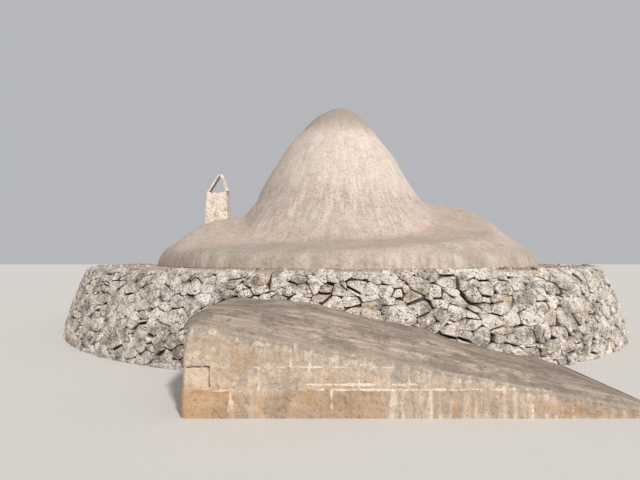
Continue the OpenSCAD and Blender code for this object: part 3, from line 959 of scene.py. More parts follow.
@dataclass
class StoneFace:
    """A face of dry-laid stones, planned flat as a run and a height, then put in place."""

    run: float
    height: float
    rows: int
    seed: int
    place: Callable[[np.ndarray, np.ndarray, np.ndarray], np.ndarray]
    laying: Callable[[float], Laying]
    lean_in: float = 0.0
    corners: int = 13
    depth: float = 0.13
    stretch: float = 1.45
    proud: float = 0.03
    rings: tuple[float, ...] = (1.0, 1.0, 0.93, 0.7, 0.36)
    tight: float = 0.0004

    def __post_init__(self) -> None:
        """Set up the random values."""
        self.random = np.random.default_rng(self.seed)
        self.noise = Noise(self.seed + 1)
        self.luck = self.random.random(997)

    def sites(self) -> np.ndarray:
        """Choose where each stone's middle is.

        Returns:
            Run, height and pull of each stone.
        """
        course = self.height / self.rows
        found: list[tuple[float, float, float]] = []
        for row in range(self.rows):
            at = -self.random.uniform(0.0, 0.2)
            while at < self.run + 0.2:
                laying = self.laying(at)
                length = laying.length * float(np.clip(self.random.lognormal(-0.06, 0.42), 0.42, 2.1))
                wave = self.noise.value(np.array([[at / 1.3, row * 3.7, 0.5]]))[0]
                middle = (row + 0.5 + 0.35 * wave + laying.jitter * self.random.normal() * 0.8) * course
                pull = self.random.normal() * 0.003 + 0.02 * (length - laying.length)
                found.append((at + length / 2, middle, pull))
                if self.random.random() < laying.chips:
                    chip = at + self.random.uniform(0.0, length)
                    found.append((chip, middle + course * self.random.choice([-0.5, 0.5]), -0.007))
                at += length * (1.0 + (self.random.random() < laying.merge))
        return np.array(found)

    def cells(self, sites: np.ndarray) -> list[tuple[list[Corner], int]]:
        """Share the face out among the stones.

        Args:
            sites: Run, height and pull of each stone.

        Returns:
            The outline of each stone and the number of its site.
        """
        flat = sites[:, :2] / [self.stretch, 1.0]
        found = []
        order = np.argsort(flat[:, 0])
        sorted_run = flat[order, 0]
        for i, (x, y) in enumerate(flat):
            near = order[np.searchsorted(sorted_run, x - 0.5) : np.searchsorted(sorted_run, x + 0.5)]
            gaps = flat[near] - (x, y)
            far = np.hypot(gaps[:, 0], gaps[:, 1])
            ranks = np.argsort(far)[1:26]
            shape = [(x + 0.4 * a, y + 0.4 * b, 0.0) for a, b in ((-1, -1), (1, -1), (1, 1), (-1, 1))]
            laying = self.laying(sites[i, 0])
            for k in ranks:
                j = near[k]
                dx, dy = gaps[k]
                reach = far[k]
                if reach < 0.02:
                    continue
                middle = 0.5 * (reach + (sites[i, 2] - sites[j, 2]) / reach)
                luck = self.luck[(int(i) * int(j) + int(i) + int(j)) % len(self.luck)]
                bed = min(max((abs(dy) / (abs(dx) + abs(dy)) - 0.45) / 0.2, 0.0), 1.0)
                chance = laying.open * (laying.upright + (1.4 - laying.upright) * bed)
                wide = 0.003 + (0.01 + 0.01 * bed) * luck / max(chance, 0.01)
                seam = wide if luck < chance else self.tight
                nx, ny = dx / reach, dy / reach
                shape = clipped(shape, nx, ny, nx * x + ny * y + middle - seam, seam)
                if len(shape) < 3:
                    break
            top = self.height - laying.under + self.random.uniform(-0.8, 1.2) * laying.ragged
            for nx, ny, limit in (
                (-1.0, 0.0, -0.004),
                (self.stretch, self.lean_in / self.height, self.run - 0.004),
                (0.0, -1.0, -0.001),
                (0.0, 1.0, top),
            ):
                if len(shape) >= 3:
                    shape = clipped(shape, nx, ny, limit, 0.003)
            if len(shape) < 3:
                continue
            span = np.ptp(np.array(shape)[:, :2], axis=0)
            if span[0] * self.stretch > 0.03 and span[1] > 0.022:
                found.append(([(px * self.stretch, py, seam) for px, py, seam in shape], i))
        return found

    def outline(self, shape: list[Corner]) -> tuple[np.ndarray, np.ndarray]:
        """Wear some of a stone's corners off and share its points out, with one on each corner.

        Args:
            shape: The straight outline.

        Returns:
            Points round the stone, and the seam beside each.
        """
        given = np.array(shape)
        points, seams = given[:, :2], given[:, 2]
        sides = np.linalg.norm(np.roll(points, -1, axis=0) - points, axis=1)
        keep = np.argsort(sides)[::-1][: self.corners // 2]
        points, seams = points[np.sort(keep)], seams[np.sort(keep)]
        after, before = np.roll(points, -1, axis=0), np.roll(points, 1, axis=0)
        cut = 0.03 + 0.3 * self.random.random((len(points), 1)) ** 2.5
        worn = [points * (1 - cut) + before * cut, points * (1 - cut) + after * cut]
        points = np.stack(worn, 1).reshape(-1, 2)
        seams = np.stack([np.maximum(seams, np.roll(seams, 1)), seams], 1).ravel()
        after = np.roll(points, -1, axis=0)
        sides = np.linalg.norm(after - points, axis=1)
        spare = self.corners - len(points)
        shares = sides / max(sides.sum(), 1e-9) * spare
        extra = np.floor(shares).astype(int)
        extra[np.argsort(shares - extra)[::-1][: spare - extra.sum()]] += 1
        rim, width = [], []
        for start, end, seam, count in zip(points, after, seams, extra):
            t = np.arange(count + 1)[:, None] / (count + 1)
            rim.append(start + (end - start) * t)
            width.append(np.full(count + 1, seam))
        rim, width = np.concatenate(rim), np.concatenate(width)
        width = 0.5 * width + 0.25 * (np.roll(width, 1) + np.roll(width, -1))
        deep = np.column_stack([rim, np.zeros(len(rim))])
        out = rim - rim.mean(axis=0)
        out /= np.linalg.norm(out, axis=1, keepdims=True) + 1e-9
        shut = np.clip(0.55 - 1.6 * self.noise.value(deep / 0.06 + 90.0), 0.0, 1.1)
        rim = rim + out * (np.where(width > 0.003, width * shut, 0.0) * 0.9)[:, None]
        width = width * (1.15 - shut)
        bend = joined(*(self.noise.layered(deep + shift, 0.08, 3) for shift in (3.0, 33.0)))
        return np.maximum(rim + 0.02 * bend, [0.001, 0.001]), width

    def stone(self, shape: list[Corner], laying: Laying) -> tuple[np.ndarray, np.ndarray]:
        """Shape one stone.

        Args:
            shape: Its straight outline.
            laying: How stones are laid there.

        Returns:
            Run, height and depth of each of its points, ring by ring, then the middle; and the darkening on each,
            grime with painted shade towards the joints.
        """
        rim, width = self.outline(shape)
        middle = rim.mean(axis=0)
        size = np.linalg.norm(rim - middle, axis=1).mean()
        scales = np.array(self.rings)
        flat = middle + (rim - middle)[None] * scales[:, None, None]
        flat = np.vstack([flat.reshape(-1, 2), middle[None]])
        off = flat - middle
        planes = self.random.normal(0.0, laying.tilt, (5, 2))
        rises = self.random.uniform(0.0, 0.5 * laying.tilt, 5) * size
        face = (rises + off @ planes.T).min(axis=1)
        face += float(np.clip(self.random.normal(0.0, laying.relief), -0.025, 0.02)) - 0.1 * laying.tilt * size
        lumps = np.column_stack([flat, np.full(len(flat), self.random.uniform(0, 50))])
        face += (0.006 + 0.9 * laying.relief) * self.noise.layered(lumps, 0.09, 4)
        edge = np.repeat(np.interp(scales, [0.7, 0.93, 1.0], [0.0, 0.2, 1.0]), self.corners)
        loose = np.clip(width / 0.012, 0.0, 1.0)
        wear = 0.5 + 0.5 * self.noise.layered(lumps[:-1] + 70.0, 0.12, 2)
        round_off = np.tile(0.002 + 0.013 * loose, len(scales)) + 0.004 * wear
        face[:-1] -= edge * round_off
        face[: self.corners] = -self.depth
        # painted shade with grime: full on the ring that runs back into the joint, more beside open joints
        darkening = np.zeros(len(flat))
        darkening[: self.corners] = 1.0
        darkening[self.corners : 2 * self.corners] = 0.08 + 0.35 * loose
        return np.column_stack([flat, np.minimum(face, self.proud)]), darkening

    def lay(self, shell_for: Callable[[float], Shell]) -> int:
        """Lay all the stones.

        Args:
            shell_for: Gives the mesh that a stone at a run goes into.

        Returns:
            How many stones were laid.
        """
        sites = self.sites()
        n, rings = self.corners, len(self.rings)
        sides = grid_faces(n, rings, wrap=True)
        i = np.arange(n)
        fan = np.stack([(rings - 1) * n + i, (rings - 1) * n + (i + 1) % n, np.full(n, rings * n)], 1)
        back = np.arange(n)[::-1][None]
        count = 0
        for shape, index in self.cells(sites):
            laying = self.laying(sites[index, 0])
            local, deep = self.stone(shape, laying)
            tone = np.clip(laying.tone + self.random.normal() * 0.2, 0.0, 1.0)
            warm = np.clip(laying.warm + self.random.normal() * 0.3, 0.0, 1.0)
            # painted shade with grime towards the joints, faded out at the top of the drum
            darkening = deep * rise(local[:, 1], self.height - 0.03, -0.04)
            tint = joined(tone, warm, darkening, self.random.random())
            points = self.place(local[:, 0], local[:, 1], local[:, 2])
            shell_for(float(sites[index, 0])).add(points, [sides, fan, back], 0, tint)
            count += 1
        return count


# ---------------------------------------------------------------- stones set by node trees


@dataclass
class Scatter:
    """A node tree that sets one rough stone at each given point, turned and sized by the point's values."""

    name: str
    material: bpy.types.Material
    seed: int = 1
    rough: float = 0.1
    detail: int = 2
    block: bool = False

    def stone(self, build: Shade) -> Socket:
        """Give the stone that is repeated: a rounded pebble, or a block with a few cuts on each face.

        Args:
            build: Helper on the tree.

        Returns:
            The stone's mesh.
        """
        if self.block:
            size = {"Size": (1.0, 1.0, 1.0), "Vertices X": 4, "Vertices Y": 3, "Vertices Z": 3}
            return build.node("GeometryNodeMeshCube", size).outputs["Mesh"]
        return build.node("GeometryNodeMeshIcoSphere", {"Radius": 0.5, "Subdivisions": self.detail}).outputs["Mesh"]

    def tree(self) -> tuple[bpy.types.NodeTree, dict[str, str]]:
        """Build the tree.

        Returns:
            The tree and the identifier of each input by name.
        """
        tree = bpy.data.node_groups.new(self.name, "GeometryNodeTree")
        tree.interface.new_socket(name="Points", in_out="INPUT", socket_type="NodeSocketGeometry")
        keys = {}
        for label, kind in (("Seed", "Int"), ("Roughness", "Float"), ("Stone material", "Material")):
            made = tree.interface.new_socket(name=label, in_out="INPUT", socket_type=f"NodeSocket{kind}")
            keys[label] = made.identifier
        tree.interface.new_socket(name="Stones", in_out="OUTPUT", socket_type="NodeSocketGeometry")
        build = Shade(tree)
        given = tree.nodes.new("NodeGroupInput").outputs
        sink = tree.nodes.new("NodeGroupOutput")
        named = "GeometryNodeInputNamedAttribute"
        turn, size = (build.node(named, {"Name": n}, data_type="FLOAT_VECTOR").outputs[0] for n in ("turn", "size"))
        feeds = {"Points": given["Points"], "Instance": self.stone(build), "Rotation": turn, "Scale": size}
        placed = build.node("GeometryNodeInstanceOnPoints", feeds).outputs[0]
        solid = build.node("GeometryNodeRealizeInstances", {0: placed}).outputs[0]
        where = build.node("GeometryNodeInputPosition").outputs[0]
        number = build.node("GeometryNodeInputMeshIsland").outputs[0]
        shift = build.times(build.plus(number, given["Seed"]), 3.71)
        feeds = {"Vector": build.vector("ADD", {0: where, 1: shift}), "Scale": 7.0, "Detail": 3.0}
        waves = build.node("ShaderNodeTexNoise", feeds).outputs[1]
        centred = build.vector("SUBTRACT", {0: waves, 1: (0.5, 0.5, 0.5)})
        push = build.vector("SCALE", {0: centred, "Scale": given["Roughness"]})
        worn = build.node("GeometryNodeSetPosition", {"Geometry": solid, "Offset": push}).outputs[0]
        most = {1: (1.0, 1.0, 0.15), "ID": number, "Seed": given["Seed"]}
        tone = build.node("FunctionNodeRandomValue", most, data_type="FLOAT_VECTOR").outputs[0]
        feeds = {"Geometry": worn, "Name": "tint", "Value": tone}
        tinted = build.node("GeometryNodeStoreNamedAttribute", feeds, data_type="FLOAT_VECTOR").outputs[0]
        feeds = {"Geometry": tinted, "Shade Smooth": not self.block}
        flat = build.node("GeometryNodeSetShadeSmooth", feeds).outputs[0]
        feeds = {"Geometry": flat, "Material": given["Stone material"]}
        tree.links.new(build.node("GeometryNodeSetMaterial", feeds).outputs[0], sink.inputs[0])
        return tree, keys

    def set(self, places: np.ndarray, turns: np.ndarray, sizes: np.ndarray) -> bpy.types.Object:
        """Set the stones and make them one mesh.

        Args:
            places: Middle of each stone.
            turns: Its turns round X, Y and Z.
            sizes: Its size along its own axes.

        Returns:
            The new object.
        """
        mesh = bpy.data.meshes.new(self.name)
        mesh.vertices.add(len(places))
        mesh.vertices.foreach_set("co", places.astype(np.float32).ravel())
        for label, values in (("turn", turns), ("size", sizes)):
            layer = mesh.attributes.new(label, "FLOAT_VECTOR", "POINT")
            layer.data.foreach_set("vector", values.astype(np.float32).ravel())
        thing = bpy.data.objects.new(self.name, mesh)
        bpy.context.scene.collection.objects.link(thing)
        tree, keys = self.tree()
        setter = thing.modifiers.new("stones", "NODES")
        setter.node_group = tree
        setter[keys["Seed"]] = self.seed
        setter[keys["Roughness"]] = self.rough
        setter[keys["Stone material"]] = self.material
        bake(thing)
        return thing


# ---------------------------------------------------------------- drum and terrace


@dataclass
class Drum:
    """The battered dry-stone drum, cut by the entrance at the back."""

    palette: Palette
    ground_r: float = 6.32
    batter: float = 0.422
    height: float = 1.37
    back_r: float = 5.2
    cut_half: float = 0.62
    cut_back: float = 4.75
    door_half: float = 0.45
    door_h: float = 1.74
    passage_back: float = 2.25
    passage_front: float = 4.43
    recess: float = 0.03
    side_recess: float = 0.035
    joint_depth: float = 0.115
    backing_top: float = 1.33
    side_course: float = 0.17
    front_side: float = 285.0
    left_side: float = 205.0
    lapped_side: float = 212.0
    plan_r: float = 6.1
    rows: int = 14
    names: tuple[str, ...] = (
        "right_back", "back_right", "back_left", "left_back", "left_front", "front_left", "front_right", "right_front",
    )

    def face_r(self, z: Values) -> Values:
        """Give the radius of the face at a height."""
        z = np.clip(z, 0.0, None)
        return self.ground_r - self.batter * (z / self.height) ** 1.5 - 0.05 * rise(z, 1.27, 0.1) ** 2

    def turn(self, share: np.ndarray, r: np.ndarray) -> np.ndarray:
        """Give the angle at a share of the way round, from one side of the cutting to the other."""
        edge = np.arcsin(np.clip(self.cut_half / r, -1.0, 1.0))
        return math.pi / 2 + edge + share * (2.0 * math.pi - 2.0 * edge)

    def place(self, run: np.ndarray, up: np.ndarray, out: np.ndarray) -> np.ndarray:
        """Put planned points on the drum's face."""
        r = self.face_r(up) - self.recess + out
        r = np.minimum(r, self.ground_r - 0.004)
        return polar(r, self.turn(run / self.run, r), up)

    @property
    def run(self) -> float:
        """Length of the face at the planning radius."""
        return self.plan_r * (2.0 * math.pi - 2.0 * math.asin(self.cut_half / self.plan_r))

    def side(self, run: float) -> int:
        """Give the number of the length of wall at a run."""
        angle = float(self.turn(np.array(run / self.run), np.array(self.plan_r)))
        return int(math.degrees(angle) // 45) % 8

    def laying(self, run: float) -> Laying:
        """Say how stones are laid: flatter and greyer at the left, larger and paler at the front right.

        Args:
            run: Place along the face.

        Returns:
            The laying there.
        """
        angle = math.degrees(float(self.turn(np.array(run / self.run), np.array(self.plan_r)))) % 360.0
        front = max(0.0, math.cos(math.radians(angle - self.front_side)))
        left = max(0.0, math.cos(math.radians(angle - self.left_side)))
        return Laying(
            length=0.2 + 0.03 * front,
            jitter=0.05 + 0.4 * front,
            open=0.34 - 0.05 * front,
            upright=0.04 + 0.4 * front,
            merge=0.03 + 0.22 * front,
            chips=0.12 + 0.38 * front,
            relief=0.003 + 0.009 * front,
            tilt=0.05 + 0.17 * front,
            ragged=0.012 + 0.02 * front,
            under=0.008 * self.lapped(math.radians(angle)),
            tone=0.5 + 0.3 * front - 0.06 * left,
            warm=0.3 + 0.25 * front,
        )

    def lapped(self, angle: Values) -> Values:
        """Say how far the terrace's screed laps over the stones at an angle: only at the front left."""
        return unit(np.cos(angle - math.radians(self.lapped_side)) * 3.6 - 2.4)

    def backing(self, shell: Shell, low: float, high: float) -> None:
        """Add the stone mass behind the joints, dark with earth and painted shade, between two shares of the way
        round.

        Args:
            shell: The mesh that it goes into.
            low: Share where it begins.
            high: Share where it ends.
        """
        levels = np.array([0.0, 0.35, 0.7, 1.0, 1.28, self.backing_top])
        outer = np.column_stack([self.face_r(levels) - self.joint_depth, levels])
        ring = np.vstack([outer, [[self.back_r, self.backing_top], [self.back_r, 0.0]]])
        steps = 12
        share = np.linspace(low, high, steps)
        r = np.tile(ring[:, 0], (steps, 1))
        angle = self.turn(share[:, None], r)
        points = polar(r, angle, ring[:, 1]).reshape(-1, 3)
        n = len(ring)
        caps = [np.arange(n)[::-1][None], np.arange(n)[None] + (steps - 1) * n]
        tint = np.tile([0.3, 0.2, 1.0, 0.0], (len(points), 1))
        shell.add(points, [grid_faces(n, steps, wrap=True), *caps], 1, tint)

    def share_at(self, degrees: float) -> float:
        """Give the share of the way round at an angle."""
        edge = math.degrees(math.asin(self.cut_half / self.plan_r))
        turned = (degrees - 90.0) % 360.0
        return min(max((turned - edge) / (360.0 - 2.0 * edge), 0.0), 1.0)

    def corner_y(self, up: Values) -> Values:
        """Say where the cutting's side meets the drum's leaning face at a height."""
        return np.sqrt((self.face_r(up) - self.side_recess) ** 2 - self.cut_half**2)

    def side_wall(
        self, side: int, half: float, back: float, front: Callable[[Values], Values], height: float
    ) -> StoneFace:
        """Plan a dry-stone side of the entrance cutting or of the passage behind it.

        Args:
            side: -1 for the left, 1 for the right.
            half: Half the clear width.
            back: Where the wall begins, from the room.
            front: Where it ends at a height.
            height: How high it is.

        Returns:
            The planned face.
        """
        length = float(front(0.0)) - back

        def place(run: np.ndarray, up: np.ndarray, out: np.ndarray) -> np.ndarray:
            """Put planned points on the wall."""
            share = run / length if side > 0 else 1.0 - run / length
            return joined(side * (half - self.side_recess - out), back + share * (front(up) - back), up)

        rows = round(height / self.side_course)
        return StoneFace(length, height, rows, 61 + side, place, lambda _: Laying(0.22, 0.22), 0.0, 12)

    def build(self) -> None:
        """Build the drum's stones, one piece for each length of the facing, and the cutting's flanks."""
        shells = [Shell() for _ in self.names]
        face = StoneFace(self.run, self.height, self.rows, 11, self.place, self.laying)
        count = face.lay(lambda run: shells[self.side(run)])
        LOG.info("drum stones: %d", count)
        for index, (name, shell) in enumerate(zip(self.names, shells)):
            low = self.share_at(index * 45.0) if index != 2 else 0.0
            high = self.share_at(index * 45.0 + 45.0) if index != 1 else 1.0
            self.backing(shell, low, high)
            piece = shell.build(f"stones_{name}", [self.palette.rubble, self.palette.earth], 20.0)
            settle(piece, Slot.DRY_STONE, f"drum_wall_{name}")
        for side, name in ((-1, "left"), (1, "right")):
            shell = Shell()
            for half, back, front, height in (
                (self.cut_half, self.cut_back, self.corner_y, self.height),
                (self.door_half, self.passage_back, lambda up: self.passage_front + 0.0 * up, self.door_h),
            ):
                self.side_wall(side, half, back, front, height).lay(lambda _, shell=shell: shell)
            settle(shell.build(f"entrance_stones_{name}", [self.palette.rubble]), Slot.DRY_STONE)


@dataclass
class Terrace:
    """The screed on top of the drum, with earth and pebbles drifted on it."""

    palette: Palette
    drum: Drum
    inner_r: float = 4.25
    outer_r: float = 5.83
    top: float = 1.37
    thick: float = 0.045
    around: int = 420
    across: int = 26
    earth_r: float = 5.05
    earth_side: float = math.radians(-25.0)
    pebble_count: int = 900

    def surface(self) -> bpy.types.Object:
        """Build the screed with its worn outer edge.

        Returns:
            The piece.
        """
        inward = 1.0 - (1.0 - np.linspace(0.0, 1.0, self.across)) ** 1.9
        tt, ss = np.meshgrid(inward, np.linspace(0.0, 1.0, self.around))
        r = self.inner_r + (self.outer_r - self.inner_r) * tt
        angle = self.drum.turn(ss, r)
        flat = polar(r, angle, 0.0)
        noise = Noise(31)
        ragged = noise.layered(flat, 0.35, 4)
        r = r + rise(tt, 0.9, 0.1) * 0.06 * (ragged - 0.3)
        lift = 0.01 * noise.layered(flat, 0.8, 4) - 0.03 * rise(tt, 0.93, 0.07) ** 2
        past = rise(tt, 0.955, 0.045)
        over = self.drum.lapped(angle)
        drop = over * (0.055 + 0.03 * ragged) * past**1.5
        rim_r = self.drum.face_r(self.top - drop) - 0.03 + 0.016 * ragged
        bulge = over * np.sin(0.5 * math.pi * past) ** 0.8
        r = r * (1.0 - bulge) + np.maximum(r, rim_r) * bulge
        top = polar(r, angle, self.top - 0.006 + (lift * (1.0 - over * past) - drop)).reshape(-1, 3)
        low = top.copy()
        low[:, 2] = self.top - self.thick - 0.01
        right = 0.35 + 0.65 * unit(np.cos(angle - self.earth_side))
        drift = 0.75 + 0.6 * noise.layered(flat + 40.0, 1.1, 3)
        soil = unit(unit(1.0 - np.abs(r - self.earth_r) / 0.55) * right * drift)
        tint = joined(0.15, soil, 0.0, 1.0).reshape(-1, 4)
        faces = grid_faces(self.across, self.around)
        edge = grid_border(self.across, self.around)
        after = np.roll(edge, -1)
        walls = np.stack([edge, edge + r.size, after + r.size, after], 1)
        shell = Shell()
        shell.add(np.vstack([top, low]), [faces, faces[:, ::-1] + r.size, walls], 0, np.vstack([tint, tint]))
        piece = shell.build("terrace_surface", [self.palette.terrace], None)
        return settle(piece, Slot.SCREED, "terrace_screed")

    def pebbles(self) -> bpy.types.Object:
        """Strew pebbles and small stones over the terrace, most of them in the earth at the right.

        Returns:
            The piece.
        """
        random = np.random.default_rng(77)
        count = self.pebble_count
        near = random.random(count) < 0.6
        angle = np.where(near, random.normal(-0.45, 0.7, count), random.uniform(0.0, 2 * math.pi, count))
        near = random.random(count) < 0.6
        r = np.where(near, random.normal(5.15, 0.22, count), random.uniform(4.8, 5.72, count))
        at_portal = (np.abs(r * np.cos(angle)) < 0.8) & (r * np.sin(angle) > 4.0)
        keep = (r > 4.82) & (r < 5.74) & ~at_portal
        angle, r = angle[keep], r[keep]
        size = np.clip(random.lognormal(-3.75, 0.5, len(r)), 0.01, 0.09)
        sizes = size[:, None] * random.uniform([0.8, 0.7, 0.45], [1.3, 1.1, 0.8], (len(r), 3))
        places = polar(r, angle, self.top + 0.22 * sizes[:, 2])
        turns = np.column_stack([random.normal(0, 0.3, (len(r), 2)), random.uniform(0, 6.3, len(r))])
        loose = ([5.6 * math.cos(-0.49), 5.6 * math.sin(-0.49), self.top + 0.02], [0.1, 0.05, 0.4], [0.2, 0.13, 0.085])
        places, turns, sizes = (np.vstack([rows, one]) for rows, one in zip((places, turns, sizes), loose))
        piece = Scatter("terrace_pebbles", self.palette.rubble, 3, 0.03, 2).set(places, turns, sizes)
        return settle(piece, Slot.DRY_STONE)

    def build(self) -> None:
        """Build the terrace."""
        self.surface()
        self.pebbles()


# ---------------------------------------------------------------- dome and cone


@dataclass
class DomeAndCone:
    """The render over the dome's shoulder and the bell cone, as one worn skin."""

    palette: Palette
    left: Outline = (
        (4.47, 1.365), (4.45, 1.48), (4.4, 1.6), (4.31, 1.73), (4.16, 1.86), (3.91, 2.04), (3.66, 2.22),
        (3.41, 2.37), (3.09, 2.48), (2.81, 2.54), (2.59, 2.58), (2.37, 2.65), (2.19, 2.78), (2.1, 2.96), (2.03, 3.2),
        (1.885, 3.5), (1.545, 4.05), (1.24, 4.51), (0.88, 4.88), (0.62, 5.13), (0.31, 5.36), (0.0, 5.455),
    )
    right: Outline = (
        (4.73, 1.365), (4.71, 1.49), (4.66, 1.61), (4.53, 1.715), (4.35, 1.84), (4.11, 2.02), (3.82, 2.27),
        (3.565, 2.475), (3.34, 2.65), (3.02, 2.82), (2.7, 2.9), (2.4, 2.92), (2.22, 2.95), (2.1, 3.03), (1.95, 3.2),
        (1.715, 3.57), (1.44, 4.08), (1.12, 4.51), (0.86, 4.88), (0.58, 5.17), (0.3, 5.375), (0.0, 5.455),
    )
    fall: Outline = (
        (-9.0, 1.15), (-4.45, 1.7), (-2.95, 1.885), (-2.4, 1.955), (-1.9, 2.1), (-1.4, 2.31), (0.0, 2.95), (1.0, 3.5),
    )
    lean: float = 0.0437
    bell_x: float = -0.05
    bell_foot: float = 1.07
    bell_rise: float = 4.4
    bell_spread: float = 2.3
    bell_power: float = 2.1
    foot_z: float = 1.36
    tip_z: float = 5.452
    around: int = 264
    per_station: int = 5
    thick: float = 0.05
    run_r: float = 1.9
    portal: tuple[float, float, float] = (0.8, 3.85, 2.3)
    flue: tuple[tuple[float, float], tuple[float, float]] = ((-3.31, 0.27), (0.6, 0.19))
    coats: tuple[tuple[str, float], ...] = (("dome_render", 0.043), ("cone_render", 0.028), ("cone_cap", -0.062))

    @staticmethod
    def rounded_max(a: np.ndarray, b: np.ndarray, width: float) -> np.ndarray:
        """Take the higher of two surfaces, with a rounded crease of that width between them."""
        share = unit(0.5 + 0.5 * (a - b) / width)
        return a * share + b * (1.0 - share) + width * share * (1.0 - share)

    def fallen(self, r: np.ndarray, z: np.ndarray, turns: np.ndarray) -> np.ndarray:
        """Lower the dome towards its front ledge and let the bell run down to it.

        Args:
            r: Radius of each point of the round outline.
            z: Its height.
            turns: Its angle round the drum.

        Returns:
            The height of each point of the skin.
        """
        x, y = r * np.cos(turns), r * np.sin(turns)
        spread = np.linspace(-0.7, 0.7, 7)[:, None, None]
        front = np.interp(y + spread, *np.array(self.fall).T).mean(axis=0) + self.lean * x
        dome = -self.rounded_max(-z, -front, 0.1)
        off = np.hypot(x - self.bell_x, y) / self.bell_spread
        bell = self.bell_foot + self.bell_rise * np.exp(-(off**self.bell_power))
        share = rise(r, 1.95, 0.35)
        return z * (1.0 - share) + self.rounded_max(dome, bell, 0.12) * share

    def cover(self, points: np.ndarray) -> None:
        """Raise the skin where it would dip into the stone under the solid coats of render.

        Args:
            points: Points of the skin, one row each, which are moved.
        """
        graph = bpy.context.evaluated_depsgraph_get()
        down = Vector((0.0, 0.0, -1.0))
        for node, give in self.coats:
            tree = BVHTree.FromObject(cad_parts[node], graph)
            for point in points:
                hit, normal, _, _ = tree.ray_cast(Vector((point[0], point[1], 9.0)), down)
                if hit is not None and normal.z > 0.15:
                    slack = 0.05 * min(max((hit.z - 3.4) / 0.3, 0.0), 1.0)
                    point[2] = max(point[2], hit.z - (give + slack) / normal.z)

    def outline(self, stations: Outline) -> np.ndarray:
        """Pass a smooth curve through an outline's stations.

        Args:
            stations: Radius and height of each.

        Returns:
            Radius and height of each row of the skin.
        """
        points = np.array(stations)
        padded = np.vstack([2 * points[0] - points[1], points, points[-2] * [-1, 1]])
        rows = []
        for i in range(len(points) - 1):
            a, b, c, d = padded[i : i + 4]
            for t in np.arange(self.per_station) / self.per_station:
                bend = (2 * a - 5 * b + 4 * c - d) * t**2 + (3 * b - a - 3 * c + d) * t**3
                rows.append(0.5 * (2 * b + (c - a) * t + bend))
        return np.array(rows)

    def tints(self, r: np.ndarray, z: np.ndarray, turns: np.ndarray, level: np.ndarray, noise: Noise) -> np.ndarray:
        """Say where the render is grimy or darkened as painted shade, part of the plinth, level, or washed pale.

        Args:
            r: Radius of each point.
            z: Its height.
            turns: Its angle round the drum.
            level: How far it faces up.
            noise: Random values.

        Returns:
            Four values for each point.
        """
        x, y = r * np.cos(turns), r * np.sin(turns)
        row = (np.arange(len(r)) / self.per_station)[:, None]
        plinth = np.interp(row, [0.0, 1.6, 3.0], [1.0, 1.0, 0.0])
        wobble = 0.5 + 0.5 * noise.layered(joined(x, y, z) * [1, 1, 0.4] + 9.0, 0.9, 4)
        arris = hump(row - 2.6, 0.9) * 0.55
        ledge = rise(-y, 2.3, 0.6) * rise(r, 4.4, -0.25) * np.clip((2.3 - x) / 1.5, 0.15, 1.0)
        # painted shade: the cone's left side, away from the key light, darkened from the shoulder up
        shade_side = rise(-x, 0.1, 1.6) * rise(z, 1.9, 0.5)
        right_side = rise(x, 1.9, 0.8) * rise(z, 3.1, -0.4) * (0.5 + wobble)
        left_foot = (row < 3.6) * rise(x, 0.5, -1.5) * (0.4 + wobble)
        top = rise(z, 4.5, 0.75)
        # lichen on the arris, darker ledge, tip, right shoulder and left foot, plus the painted shade of the left side
        grime_and_shade = arris * wobble + 1.3 * top + 0.6 * ledge * wobble + 0.24 * shade_side + 0.2 * right_side
        waist = np.interp(z, [2.9, 3.4, 4.4, 4.9], [0.0, 1.0, 1.0, 0.0])
        return joined(unit(grime_and_shade + 0.3 * left_foot), plinth, unit(level), waist)

    def opened(self, middle: np.ndarray) -> np.ndarray:
        """Say which faces lie where the portal and the flue pass through the skin.

        Args:
            middle: Middle of each face.

        Returns:
            True for each face that is left out.
        """
        x, y, z = middle.T
        half, front, top = self.portal
        (flue_x, half_x), (flue_y, half_y) = self.flue
        portal = (np.abs(x) < half) & (y > front) & (z < top)
        return portal | (np.abs(x - flue_x) < half_x) & (np.abs(y - flue_y) < half_y)

    def build(self) -> bpy.types.Object:
        """Build the skin with its lumps and hollows.

        Returns:
            The piece.
        """
        left, right = self.outline(self.left), self.outline(self.right)
        rows = len(left)
        turns = np.tile(np.linspace(0.0, 2.0 * math.pi, self.around, endpoint=False), (rows, 1))
        share = unit(0.5 + 0.53 * np.cos(turns[0]))[None, :, None]
        profile = left[:, None] * (1 - share) + right[:, None] * share
        profile[..., 1] = self.fallen(profile[..., 0], profile[..., 1], turns)
        r, z = profile[..., 0], profile[..., 1]
        slope = np.gradient(profile, axis=0)
        length = np.hypot(slope[..., 0], slope[..., 1]) + 1e-9
        out_r, out_z = slope[..., 1] / length, -slope[..., 0] / length
        along = np.cumsum(length, axis=0)
        where = polar(r, turns, z)
        noise = Noise(5)
        lump = 0.022 * noise.layered(where, 1.1, 3) + 0.007 * noise.layered(where + 30.0, 0.22, 3)
        lump = lump * np.clip((5.46 - z) / 0.25, 0.15, 1.0) - 0.006
        worn_z = z + lump * out_z
        worn_z[0] = self.foot_z
        points = polar(np.maximum(r + lump * out_r, 0.004), turns, worn_z).reshape(-1, 3)
        self.cover(points)
        tint = self.tints(r, z, turns, out_z, noise).reshape(-1, 4)
        run = polar(self.run_r, turns, along).reshape(-1, 3)
        faces = grid_faces(self.around, rows, wrap=True)
        faces = faces[~self.opened(points[faces].mean(axis=1))]
        last = np.arange(self.around) + (rows - 1) * self.around
        fan = np.stack([last, np.roll(last, -1), np.full(self.around, rows * self.around)], 1)
        points = np.vstack([points, [[0.0, 0.0, self.tip_z]]])
        tint = np.vstack([tint, tint[-1:]])
        run = np.vstack([run, [[0.0, 0.0, along[-1, 0]]]])
        shell = Shell()
        shell.add(points, [faces, fan], 0, tint, run)
        thing = shell.build("cone_and_dome_render", [self.palette.render], None)
